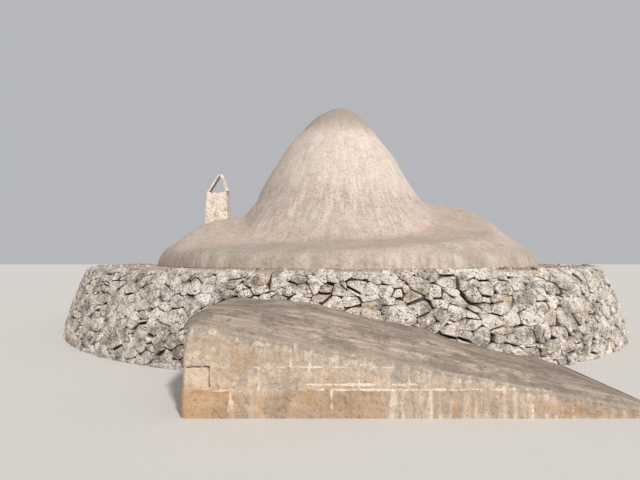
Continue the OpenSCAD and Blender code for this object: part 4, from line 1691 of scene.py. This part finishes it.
        thicken(thing, self.thick)
        return settle(thing, Slot.RENDER, "cone_render", "dome_render")


def thicken(thing: bpy.types.Object, thick: float) -> None:
    """Give a surface a thickness inwards.

    Args:
        thing: The surface.
        thick: Its thickness.
    """
    solid = thing.modifiers.new("coat", "SOLIDIFY")
    solid.thickness = thick
    solid.offset = -1.0
    bake(thing)


def bake(thing: bpy.types.Object) -> None:
    """Make an object's modifiers part of its mesh and remove them.

    Args:
        thing: The object, whose mesh is replaced.
    """
    graph = bpy.context.evaluated_depsgraph_get()
    old = thing.data
    mesh = bpy.data.meshes.new_from_object(thing.evaluated_get(graph), preserve_all_data_layers=True, depsgraph=graph)
    thing.modifiers.clear()
    mesh.name = old.name
    thing.data = mesh
    bpy.data.meshes.remove(old)


def roughened(
    name: str,
    nodes: Sequence[str],
    material: bpy.types.Material,
    cell: float,
    rough: float,
    seed: int,
    soften: int = 4,
    bend: Callable[[np.ndarray], np.ndarray] | None = None,
) -> bpy.types.Object:
    """Copy CAD nodes as one hand-made looking mass with worn edges.

    Args:
        name: Name of the piece.
        nodes: CAD nodes that it follows.
        material: Its material.
        cell: Size of its faces.
        rough: How uneven it is.
        seed: Number that fixes its lumps.
        soften: How often its edges are smoothed.
        bend: What moves its points first, if anything does.

    Returns:
        The new object.
    """
    points, faces, base = [], [], 0
    for node in nodes:
        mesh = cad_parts[node].data
        mesh.calc_loop_triangles()
        tris = np.empty(len(mesh.loop_triangles) * 3, np.int32)
        mesh.loop_triangles.foreach_get("vertices", tris)
        points.append(read(mesh))
        faces.append(tris.reshape(-1, 3) + base)
        base += len(mesh.vertices)
    shell = Shell()
    all_points = np.concatenate(points).astype(float)
    shell.add(bend(all_points) if bend else all_points, [np.concatenate(faces)])
    thing = shell.build(name, [material], None)
    weld = thing.modifiers.new("weld", "WELD")
    weld.merge_threshold = 0.0002
    grid = thing.modifiers.new("grid", "REMESH")
    grid.mode = "VOXEL"
    grid.voxel_size = cell
    worn = thing.modifiers.new("worn", "SMOOTH")
    worn.factor = 0.5
    worn.iterations = soften
    bake(thing)
    mesh = thing.data
    co, normals = read(mesh).astype(float), read(mesh, "normal")
    noise = Noise(seed)
    lift = rough * (0.7 * noise.layered(co, 0.22, 3) + 0.3 * noise.layered(co + 11.0, 0.05, 2) - 0.4)
    co += normals * lift[:, None]
    mesh.vertices.foreach_set("co", co.astype(np.float32).ravel())
    mesh.update()
    mesh.shade_smooth()
    if not mesh.materials:
        mesh.materials.append(material)
    return thing


# ---------------------------------------------------------------- chimney and entrance


@dataclass
class Chimney:
    """The small plastered chimney with its two leaning slabs."""

    palette: Palette
    middle_x: float = -3.31
    worn_middle_x: float = -3.275
    worn_width: float = 0.9
    slab_depth: float = 0.5
    places: dict[str, tuple] = field(default_factory=lambda: {
        "left": ((-3.57, -3.5), (-3.32, -3.215), 0.75),
        "right": ((-3.057, -3.0), (-3.257, -3.15), 1.05),
    })

    def worn(self, points: np.ndarray) -> np.ndarray:
        """Draw in the shaft's left side, which has worn back more than the right."""
        points[:, 0] = self.worn_middle_x + (points[:, 0] - self.middle_x) * self.worn_width
        return points

    def slab(
        self, feet: tuple[float, float], crowns: tuple[float, float], wide: float
    ) -> Callable[[np.ndarray], np.ndarray]:
        """Make the function that thins a cap slab and leans it anew.

        Args:
            feet: Middle of the slab's foot in the solid and in the worn chimney.
            crowns: Middle of its upper end in both.
            wide: Worn thickness against the solid's.

        Returns:
            The function that moves the slab's points.
        """
        low, high = (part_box("chimney_cap_left")[i][2] for i in (0, 1))
        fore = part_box("chimney_cap_left")[0][1]

        def move(points: np.ndarray) -> np.ndarray:
            """Move the slab's points.

            Args:
                points: The slab's points, which are moved.

            Returns:
                The same points.
            """
            share = (points[:, 2] - low) / (high - low)
            old = feet[0] + (crowns[0] - feet[0]) * share
            new = feet[1] + (crowns[1] - feet[1]) * share
            points[:, 0] = new + (points[:, 0] - old) * wide
            points[:, 1] = fore + (points[:, 1] - fore) * self.slab_depth
            return points

        return move

    def build(self) -> None:
        """Build the shaft and the cap."""
        shaft = ("chimney_front", "chimney_back", "chimney_cheek_left", "chimney_cheek_right")
        piece = roughened("chimney_shaft", shaft, self.palette.plaster, 0.014, 0.012, 71, 5, self.worn)
        settle(piece, Slot.PLASTER, *shaft)
        for side, (feet, crowns, wide) in self.places.items():
            node = f"chimney_cap_{side}"
            move = self.slab(feet, crowns, wide)
            piece = roughened(f"cap_slab_{side}", [node], self.palette.plaster, 0.011, 0.008, 73 + len(side), 3, move)
            settle(piece, Slot.PLASTER, node)


@dataclass
class Entrance:
    """The doorway at the back: portal masonry, jamb stones, lintel and threshold."""

    palette: Palette

    def build(self) -> None:
        """Build the entrance's pieces."""
        piece = roughened("portal_masonry", ["portal_wall"], self.palette.plaster, 0.022, 0.02, 81, 4)
        settle(piece, Slot.PLASTER, "portal_wall")
        for index, node in enumerate(("jamb_left", "jamb_right", "lintel")):
            piece = roughened(f"{node}_stone", [node], self.palette.tufa, 0.016, 0.012, 84 + index, 4)
            settle(piece, Slot.TUFA, node)
        piece = roughened("threshold_stone", ["threshold"], self.palette.paving, 0.016, 0.012, 90, 4)
        settle(piece, Slot.FLOOR, "threshold")


# ---------------------------------------------------------------- ramp


@dataclass
class BlockWall:
    """One face of block masonry, worn, limed and stained."""

    name: str
    nodes: tuple[str, ...]
    material: bpy.types.Material
    length: float
    top: Callable[[np.ndarray], np.ndarray]
    place: Callable[[np.ndarray, np.ndarray, np.ndarray], np.ndarray]
    beds: tuple[float, ...]
    joints: Sequence[Sequence[float]]
    seed: int
    is_front: bool
    step: float = 0.0115
    rows: int = 82
    curl: int = 6
    thick: float = 0.12
    shared: float = 0.1
    joint_half: float = 0.012
    plaster_from: float = 0.7
    lean_from: float = 0.6
    lean: float = 0.055
    base_out: float = 0.02
    upper_smear: float = 0.375
    lower_smear: float = 0.322
    lump_smear: float = 0.51
    lime_corner: tuple[float, float] = (0.475, 0.266)
    crack: tuple[float, float] = (0.265, 0.489)

    def __post_init__(self) -> None:
        """Spread the grid over the face, and find each point's course, block and nearest joint."""
        u = np.linspace(0.0, self.length, int(self.length / self.step))
        peak = self.top(u)
        bend = np.minimum(0.03, 0.45 * peak)
        turn = np.linspace(0.0, math.pi / 2, self.curl)[:, None]
        straight = np.linspace(0.0, 1.0, self.rows - self.curl + 1)[:-1, None] * (peak - bend)
        self.up = np.vstack([straight, peak - bend + bend * np.sin(turn)])
        self.run = np.repeat(u[None], self.rows, 0)
        self.curled = np.zeros(self.up.shape)
        self.curled[-self.curl :] = bend * (1.0 - np.cos(turn))
        self.below = peak - self.up
        self.noise = Noise(self.seed)
        self.flat = joined(self.run, self.up, 0.0)
        self.waver = 0.006 * self.noise.layered(self.flat, 0.3, 3)
        self.wear = self.noise.layered(self.flat + 5.0, 0.16, 4)
        self.patch = self.noise.layered(self.flat + 25.0, 0.55, 3)
        run, up = self.run + self.waver, self.up + self.waver
        self.course = np.clip(np.searchsorted(self.beds[1:], up), 0, 3)
        self.side_gap = np.empty(run.shape)
        self.block = np.empty(run.shape, int)
        for course, joints in enumerate(self.joints):
            here = self.course == course
            edges = np.array([-9.0, *joints, 99.0])
            self.side_gap[here] = np.abs(run[here][:, None] - edges).min(axis=1)
            self.block[here] = np.searchsorted(edges, run[here]) + 20 * course
        self.bed_gap = np.abs(up[..., None] - np.array(self.beds[1:4])).min(axis=-1)
        self.gap = np.minimum(self.side_gap, self.bed_gap)
        self.plaster = rise(self.up, self.plaster_from - 0.04 * self.wear, 0.03)
        table = np.random.default_rng(self.seed).random(200)[self.block]
        self.tone = np.where(self.course == 0, 0.45 + 0.65 * table, 0.42 * table)

    def smears(self) -> np.ndarray:
        """Give the lime smeared over the middle of the front: two broken strips and some lumps.

        Returns:
            One value from 0 to 1 for each point.
        """
        run, up = self.run, self.up
        level = self.flat * [1.0, 0.0, 0.0]
        long = self.noise.layered(level + 60.0, 0.3, 4)
        short = self.noise.layered(level + 90.0, 0.22, 4)
        thin = 0.3 * self.waver + 0.004 * short
        upper = stripe(up - self.upper_smear - thin, 0.004, 1.4) * unit(0.5 + 1.2 * long) * 0.5 * (run < 1.4)
        lower = stripe(up - self.lower_smear + thin, 0.01 + 0.006 * short, 1.4) * unit(0.3 + 4.0 * short)
        lower = lower * (run > 1.12) * (run < 2.3)
        high = np.maximum(0.012 + 0.06 * self.wear, 0.004)
        lumps = stripe(up - self.lump_smear - 0.05 * long, high, 1.3)
        lumps = lumps * (run > 1.45) * (run < 1.95) * unit(0.7 + 2.0 * long)
        return np.maximum(np.maximum(upper, lower), lumps) * (run > 0.75) * (run < self.length - 1.0)

    def lime(self) -> np.ndarray:
        """Give the lime that is left in the joints and on the blocks.

        Returns:
            One value from 0 to 1 for each point.
        """
        run, up, wear = self.run, self.up, self.wear
        low = self.course == 0
        beds = np.where(up < 0.4, np.clip(0.3 + 0.7 * (run - 1.0), 0.3, 0.75), 0.6)
        full = np.where(self.side_gap < self.bed_gap, np.where(low, 0.75, 0.85), beds)
        lime = stripe(self.gap, self.joint_half, 1.25) * unit(0.6 + 0.9 * self.patch + 0.5 * wear) * full
        if self.is_front:
            side, top = self.lime_corner
            corner = stripe(run - side - 0.1 * (0.26 - up), self.joint_half, 1.5) * (up < 0.27) * (up > 0.09)
            corner = np.maximum(corner, stripe(up - top, 0.008, 1.4) * (run > 0.29) * (run < 0.48))
            lime = unit(np.maximum(lime, self.smears()))
            lime = np.maximum(lime, corner * unit(0.8 + wear))
        return lime * (1.0 - 0.75 * self.plaster)

    def cracks(self) -> np.ndarray:
        """Give the open crack at the front's left end and the ragged edge under the screed.

        Returns:
            One value from 0 to 1 for each point.
        """
        run, up, wear = self.run, self.up, self.wear
        crack = 0.3 * stripe(self.below, 0.045 + 0.05 * unit(0.5 + wear), 1.3)
        if self.is_front:
            side, top = self.crack
            level = hump(up - top - self.waver, 0.0065 + 0.004 * wear) * (run < 0.27)
            upright = hump(run - side + self.waver, 0.006 + 0.006 * wear) * (up > 0.3) * (up < 0.5)
            crack = np.maximum(np.maximum(level, upright * unit(1.2 + 2 * wear)), crack)
        return crack

    def grime(self) -> np.ndarray:
        """Give the soot and lichen: heavy under the screed, patchy below, and at the foot.

        Returns:
            One value from 0 to 1 for each point.
        """
        lip = stripe(self.below, 0.24 + 0.16 * self.patch, 1.2)
        low = unit(0.3 + 0.9 * self.patch) * 0.35 + 0.4 * rise(self.run, 1.3, 1.0)
        low = low + 0.3 * stripe(self.up, 0.05 + 0.03 * self.wear, 1.3)
        sooty = 0.3 * np.random.default_rng(self.seed + 1).random(200)[self.block] ** 1.6
        return unit(np.maximum(lip * 0.95, low + sooty) + 0.25 * self.plaster * (0.5 + self.wear))

    def relief(self, lime: np.ndarray, crack: np.ndarray) -> np.ndarray:
        """Give how far each point stands out from the face.

        Args:
            lime: Lime on each point.
            crack: How far it is open.

        Returns:
            The depth, outwards.
        """
        wear, plaster = self.wear, self.plaster
        edge = stripe(self.gap, 0.02, 1.0) ** 2 * (1.0 - 0.8 * plaster) * (0.6 + 0.6 * np.abs(wear))
        depth = -0.004 - 0.006 * edge + 0.006 * wear * (1 - 0.4 * plaster)
        depth += 0.003 * self.noise.layered(self.flat + 13.0, 0.035, 3) - 0.02 * unit(crack - 0.3)
        depth += 0.007 * lime * (self.gap < 0.02) + 0.004 * (self.tone - 0.5)
        depth += np.where(self.up + self.waver < self.beds[1], self.base_out, 0.0)
        depth = depth * rise(self.below, 0.0, 0.03) - self.curled
        corner = self.run if self.is_front else self.length - self.run
        return depth - 0.02 * stripe(corner, 0.03, 1.0) ** 2

    def build(self) -> bpy.types.Object:
        """Build the face as a slab with a flat back.

        Returns:
            The piece.
        """
        lime, crack = self.lime(), self.cracks()
        depth = self.relief(lime, crack)
        lean = self.lean * rise(self.up, self.lean_from, 0.34) ** 1.3
        run = self.run
        if self.is_front:
            run = run + lean * rise(self.run, 0.5, -0.5)
        else:
            depth = depth - lean
        face = self.place(run.ravel(), self.up.ravel(), depth.ravel())
        tint = joined(self.tone, lime, crack, self.grime()).reshape(-1, 4)
        where = joined(self.run, 0.0, self.up).reshape(-1, 3)
        rows, columns = self.run.shape
        border = grid_border(columns, rows)
        behind = self.run.ravel()[border] * (1.0 - self.shared / self.length) + self.shared * self.is_front
        rear = self.place(behind, self.up.ravel()[border], np.full(len(border), -self.thick))
        ids = self.run.size + np.arange(len(border))
        walls = np.stack([np.roll(border, -1), border, ids, np.roll(ids, -1)], 1)
        shell = Shell()
        shell.add(
            np.vstack([face, rear]),
            [grid_faces(columns, rows), walls, ids[::-1][None]],
            0,
            np.vstack([tint, tint[border]]),
            np.vstack([where, where[border]]),
        )
        return settle(shell.build(self.name, [self.material], 50.0), Slot.TUFA, *self.nodes)


@dataclass
class Ramp:
    """The ramp of tufa blocks with its worn screed."""

    palette: Palette
    drum: Drum
    left: float = -1.85
    toe: float = 3.0
    front: float = 7.75
    height: float = 1.01
    edge: float = 0.92
    toe_edge: float = 0.025
    shoulder: float = 0.37
    lip: float = 0.025
    line: Outline = (
        (0.0, 1.0), (0.186, 0.97), (0.278, 0.921), (0.413, 0.762), (0.555, 0.624), (0.643, 0.46), (0.788, 0.277),
        (0.911, 0.149), (1.0, 0.0),
    )
    trod: Outline = ((-1.9, 0.4), (-0.92, 0.3), (0.0, 0.25), (0.5, 0.22), (1.2, 0.15), (2.4, 0.1), (3.0, 0.06))
    beds: tuple[float, ...] = (0.0, 0.276, 0.489, 0.704, 0.93)
    front_joints: tuple[tuple[float, ...], ...] = (
        (-1.39, -0.885, -0.39, 0.11, 0.59, 1.07, 1.57, 1.96, 2.45),
        (-1.585, -1.1, -0.61, -0.12, 0.37, 0.87, 1.36),
        (-1.38, -0.79, -0.6, -0.1),
        (-1.5, -1.0),
    )
    end_joints: tuple[tuple[float, ...], ...] = (
        (0.5, 1.0, 1.5), (0.3, 0.8, 1.3), (0.55, 1.05, 1.55), (0.35, 0.85, 1.4),
    )
    across: int = 58
    along: int = 260
    roll: int = 8
    thick: float = 0.02
    drum_y: float = -6.0

    @property
    def length(self) -> float:
        """Length of the front."""
        return self.toe - self.left

    @property
    def end_run(self) -> float:
        """Length of the left end, up to the drum's joints."""
        return self.front - math.sqrt((self.drum.ground_r - 0.3) ** 2 - self.left**2)

    def slope(self, x: np.ndarray, y: np.ndarray) -> np.ndarray:
        """Give the height of the slope that rises from the front edge at a place."""
        fall = (self.edge - self.toe_edge) / self.length
        return self.edge - fall * (x - self.left) + self.shoulder * (y + self.front)

    def top(self, x: np.ndarray, y: np.ndarray) -> np.ndarray:
        """Give the height of the screed at a place, with a soft crest between its two slopes.

        Args:
            x: Place along the front.
            y: Place from front to back.

        Returns:
            The height.
        """
        crest = np.interp((x - self.left) / self.length, *np.array(self.line).T) * self.height
        slope = self.slope(x, y)
        soft = 0.05
        blend = unit(0.5 + 0.5 * (slope - crest) / soft)
        return np.maximum(slope * (1 - blend) + crest * blend - soft * blend * (1 - blend), 0.012)

    @staticmethod
    def end_drop(run: np.ndarray) -> np.ndarray:
        """Give how far the top is worn down near the left end."""
        return 0.055 * stripe(run, 0.16, 1.0) ** 2

    def screed(self) -> bpy.types.Object:
        """Build the screed, rolled over the front and left edges.

        Returns:
            The piece.
        """
        roll = self.roll
        u = self.left + self.length * np.linspace(0.0, 1.0, self.along)
        x = np.repeat(u[:, None], self.across, 1)
        noise = Noise(21)
        back_r = self.drum.face_r(self.top(u, np.full(self.along, self.drum_y))) - 0.09
        back = -np.sqrt(back_r**2 - u**2)[:, None]
        ragged = 0.5 + 0.5 * noise.layered(joined(u, 4.0, 0.0), 0.16, 4)
        start = (-self.front + self.lip * 0.55 + 0.02 * ragged)[:, None]
        rolled = np.linspace(0.0, 1.0, roll + 1)[:-1]
        inward = np.linspace(0.0, 1.0, self.across - roll) ** 1.15
        y = np.hstack([start + 0.03 * rolled, start + 0.03 + (back - start - 0.03) * inward])
        flat = joined(x, y, 0.0)
        drop = np.zeros(x.shape)
        drop[:, :roll] = 0.012 * np.linspace(1.0, 0.0, roll + 1)[:-1] ** 2
        drop += self.end_drop(x - self.left)
        drop[:, 0] += 0.008
        z = self.top(x, y)
        z = z - np.minimum(drop, np.maximum(z - 0.004, 0.0)) + 0.009 * noise.layered(flat, 0.7, 4)
        points = joined(x, y, np.maximum(z, 0.004)).reshape(-1, 3)
        crest = hump(self.slope(x, y) - self.top(x, np.full_like(x, self.drum_y)), 0.035)
        crest = crest * unit((x - self.left - 0.3) / 0.5)
        off = y + self.front - np.interp(x, *np.array(self.trod).T) - 0.02 * noise.layered(flat, 0.5, 3)
        broken = unit(0.75 + 1.3 * noise.layered(flat + 50.0, 0.7, 4))
        rubbed = np.maximum(crest * 0.6, hump(off, 0.03) * broken * rise(x, -1.3, 0.5))
        tint = joined(rubbed, 0.0, hump(y + self.front, 0.12), 1.0).reshape(-1, 4)
        shell = Shell()
        shell.add(points, [grid_faces(self.across, self.along)[:, ::-1]], 0, tint, flat.reshape(-1, 3))
        thing = shell.build("ramp_screed_top", [self.palette.ramp_top], None)
        thicken(thing, self.thick)
        return settle(thing, Slot.SCREED, "ramp_screed")

    def front_place(self, run: np.ndarray, up: np.ndarray, out: np.ndarray) -> np.ndarray:
        """Put planned points on the front face."""
        return joined(self.left + run, -self.front - out, up)

    def end_place(self, run: np.ndarray, up: np.ndarray, out: np.ndarray) -> np.ndarray:
        """Put planned points on the left end."""
        return joined(self.left - out, -self.front + self.end_run - run, up)

    def front_top(self, run: np.ndarray) -> np.ndarray:
        """Give the front face's height under the screed."""
        edge = self.top(self.left + run, np.full(run.shape, -self.front + self.lip)) - 0.004
        return np.maximum(edge - self.end_drop(run), 0.01)

    def end_top(self, run: np.ndarray) -> np.ndarray:
        """Give the left end's height under the screed."""
        return self.top(np.full(run.shape, self.left), -self.front + self.end_run - run) - 0.058

    def build(self) -> None:
        """Build the ramp's screed and its two block faces."""
        self.screed()
        joints = [[-self.left + x for x in course] for course in self.front_joints]
        BlockWall(
            "ramp_blocks_front", ("ramp_base_course", "ramp_front_wall"), self.palette.tufa,
            self.length, self.front_top, self.front_place, self.beds, joints, 41, True,
        ).build()
        BlockWall(
            "ramp_blocks_end", ("ramp_end_wall",), self.palette.tufa,
            self.end_run, self.end_top, self.end_place, self.beds, self.end_joints, 43, False,
        ).build()


# ---------------------------------------------------------------- inside


@dataclass
class Inside:
    """The stone that shows through the doorway: vault, core and floor."""

    palette: Palette
    middle_x: float = -0.05
    room_r: float = 2.3
    spring: float = 1.25
    eye_r: float = 0.28
    top: float = 4.75
    power: float = 1.25
    courses: int = 20
    door_half: float = 0.45
    door_top: float = 1.95
    hearth: tuple[float, float, float] = (0.6, 0.4, 1.02)
    deep: float = 0.1

    def corbel_r(self, course: int) -> float:
        """Give the inner radius of a vault course."""
        return self.eye_r + (self.room_r - self.eye_r) * (1.0 - (course / self.courses) ** self.power)

    def slabs(self) -> bpy.types.Object:
        """Line the room's wall and each corbelled course of the vault with slabs.

        Returns:
            The piece.
        """
        random = np.random.default_rng(19)
        step = (self.top - self.spring) / self.courses
        wall = np.linspace(0.1, self.spring, 9)
        levels = [(self.room_r, low, high) for low, high in zip(wall[:-1], wall[1:])]
        for k in range(self.courses):
            levels.append((self.corbel_r(k), self.spring + k * step, self.spring + (k + 1) * step))
        places, turns, sizes = [], [], []
        for r, low, high in levels:
            angle = random.uniform(0.0, 0.5)
            stop = angle + 2.0 * math.pi
            while angle < stop - 0.12 / r:
                length = min(random.uniform(0.16, 0.42) * min(1.0, 0.35 + r), (stop - angle) * r)
                at = angle + 0.5 * length / r
                x, y = self.middle_x + r * math.cos(at), r * math.sin(at)
                angle += length / r
                if y > 0 and abs(x) < self.door_half + 0.5 * length and low < self.door_top:
                    continue
                if x < 0 and abs(y - self.hearth[0]) < self.hearth[1] + 0.5 * length and low < self.hearth[2]:
                    continue
                inner = r - random.uniform(0.004, 0.016) + 0.5 * self.deep
                places.append((self.middle_x + inner * math.cos(at), inner * math.sin(at), 0.5 * (low + high)))
                turns.append((0.0, 0.0, at + random.normal(0.0, 0.02)))
                gaps = random.uniform(0.004, 0.02), random.uniform(0.004, 0.014)
                sizes.append((self.deep, length - gaps[0], high - low - gaps[1]))
        setter = Scatter("vault_slabs", self.palette.vault, 5, 0.022, 2, True)
        return settle(setter.set(np.array(places), np.array(turns), np.array(sizes)), Slot.VAULT)

    def build(self) -> None:
        """Line the room and dress the CAD nodes that show inside."""
        self.slabs()
        for name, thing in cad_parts.items():
            if name.startswith(("core_", "haunch_", "ramp_fill")):
                material = self.palette.earth
            elif name.startswith(("vault_", "cone_cap", "passage_roof")):
                material = self.palette.vault
            elif name.startswith("room_floor"):
                material = self.palette.paving
            else:
                continue
            thing.data.materials.clear()
            thing.data.materials.append(material)


# ---------------------------------------------------------------- studio


@dataclass
class Studio:
    """The floor, the light and the camera."""

    eye: tuple[float, float, float] = (-0.5, -12.5, 1.57)
    tilt_up: float = 2.02
    lens: float = 27.06
    reach: float = 90.0
    sun: float = 3.3
    soft: float = 5.0
    sun_way: tuple[float, float, float] = (-0.36, 0.78, -0.62)
    fill: float = 0.5
    paint: Colour = (0.62, 0.6, 0.57)

    def floor(self) -> None:
        """Lay a plain pale floor."""
        mesh = bpy.data.meshes.new("floor")
        corners = ((-1, -1), (1, -1), (1, 1), (-1, 1))
        mesh.from_pydata([(self.reach * x, self.reach * y, 0) for x, y in corners], [], [(0, 1, 2, 3)])
        thing = bpy.data.objects.new("floor", mesh)
        bpy.context.scene.collection.objects.link(thing)
        material = bpy.data.materials.new("Studio floor")
        material.use_nodes = True
        shader = material.node_tree.nodes["Principled BSDF"]
        shader.inputs["Base Color"].default_value = (*self.paint, 1.0)
        shader.inputs["Roughness"].default_value = 0.95
        mesh.materials.append(material)

    def light(self) -> None:
        """Hang a soft key light at the front right and fill the rest from all round."""
        key = bpy.data.lights.new("key", "SUN")
        key.energy = self.sun
        key.angle = math.radians(self.soft)
        key.color = (1.0, 0.96, 0.9)
        lamp = bpy.data.objects.new("key", key)
        lamp.rotation_euler = Vector(self.sun_way).to_track_quat("-Z", "Y").to_euler()
        bpy.context.scene.collection.objects.link(lamp)
        world = bpy.data.worlds.new("studio") if bpy.context.scene.world is None else bpy.context.scene.world
        bpy.context.scene.world = world
        world.use_nodes = True
        back = world.node_tree.nodes["Background"]
        back.inputs["Color"].default_value = (0.93, 0.95, 1.0, 1.0)
        back.inputs["Strength"].default_value = self.fill
        bpy.context.scene.view_settings.view_transform = "Standard"

    def camera(self) -> None:
        """Set the camera at the photograph's place and angle."""
        data = bpy.data.cameras.new("camera")
        data.lens = self.lens
        data.sensor_width = 36.0
        data.clip_end = 500.0
        thing = bpy.data.objects.new("camera", data)
        thing.location = self.eye
        thing.rotation_euler = (math.radians(90.0 + self.tilt_up), 0.0, 0.0)
        bpy.context.scene.collection.objects.link(thing)
        bpy.context.scene.camera = thing

    def build(self) -> None:
        """Set the stage."""
        self.floor()
        self.light()
        self.camera()


def main() -> None:
    """Build the trullo's looks in order."""
    logging.basicConfig(level=logging.INFO, format="%(message)s")
    Studio().build()
    palette = Palette()
    drum = Drum(palette)
    drum.build()
    Terrace(palette, drum).build()
    DomeAndCone(palette).build()
    Chimney(palette).build()
    Entrance(palette).build()
    Ramp(palette, drum).build()
    Inside(palette).build()


if __name__ == "__main__":
    main()
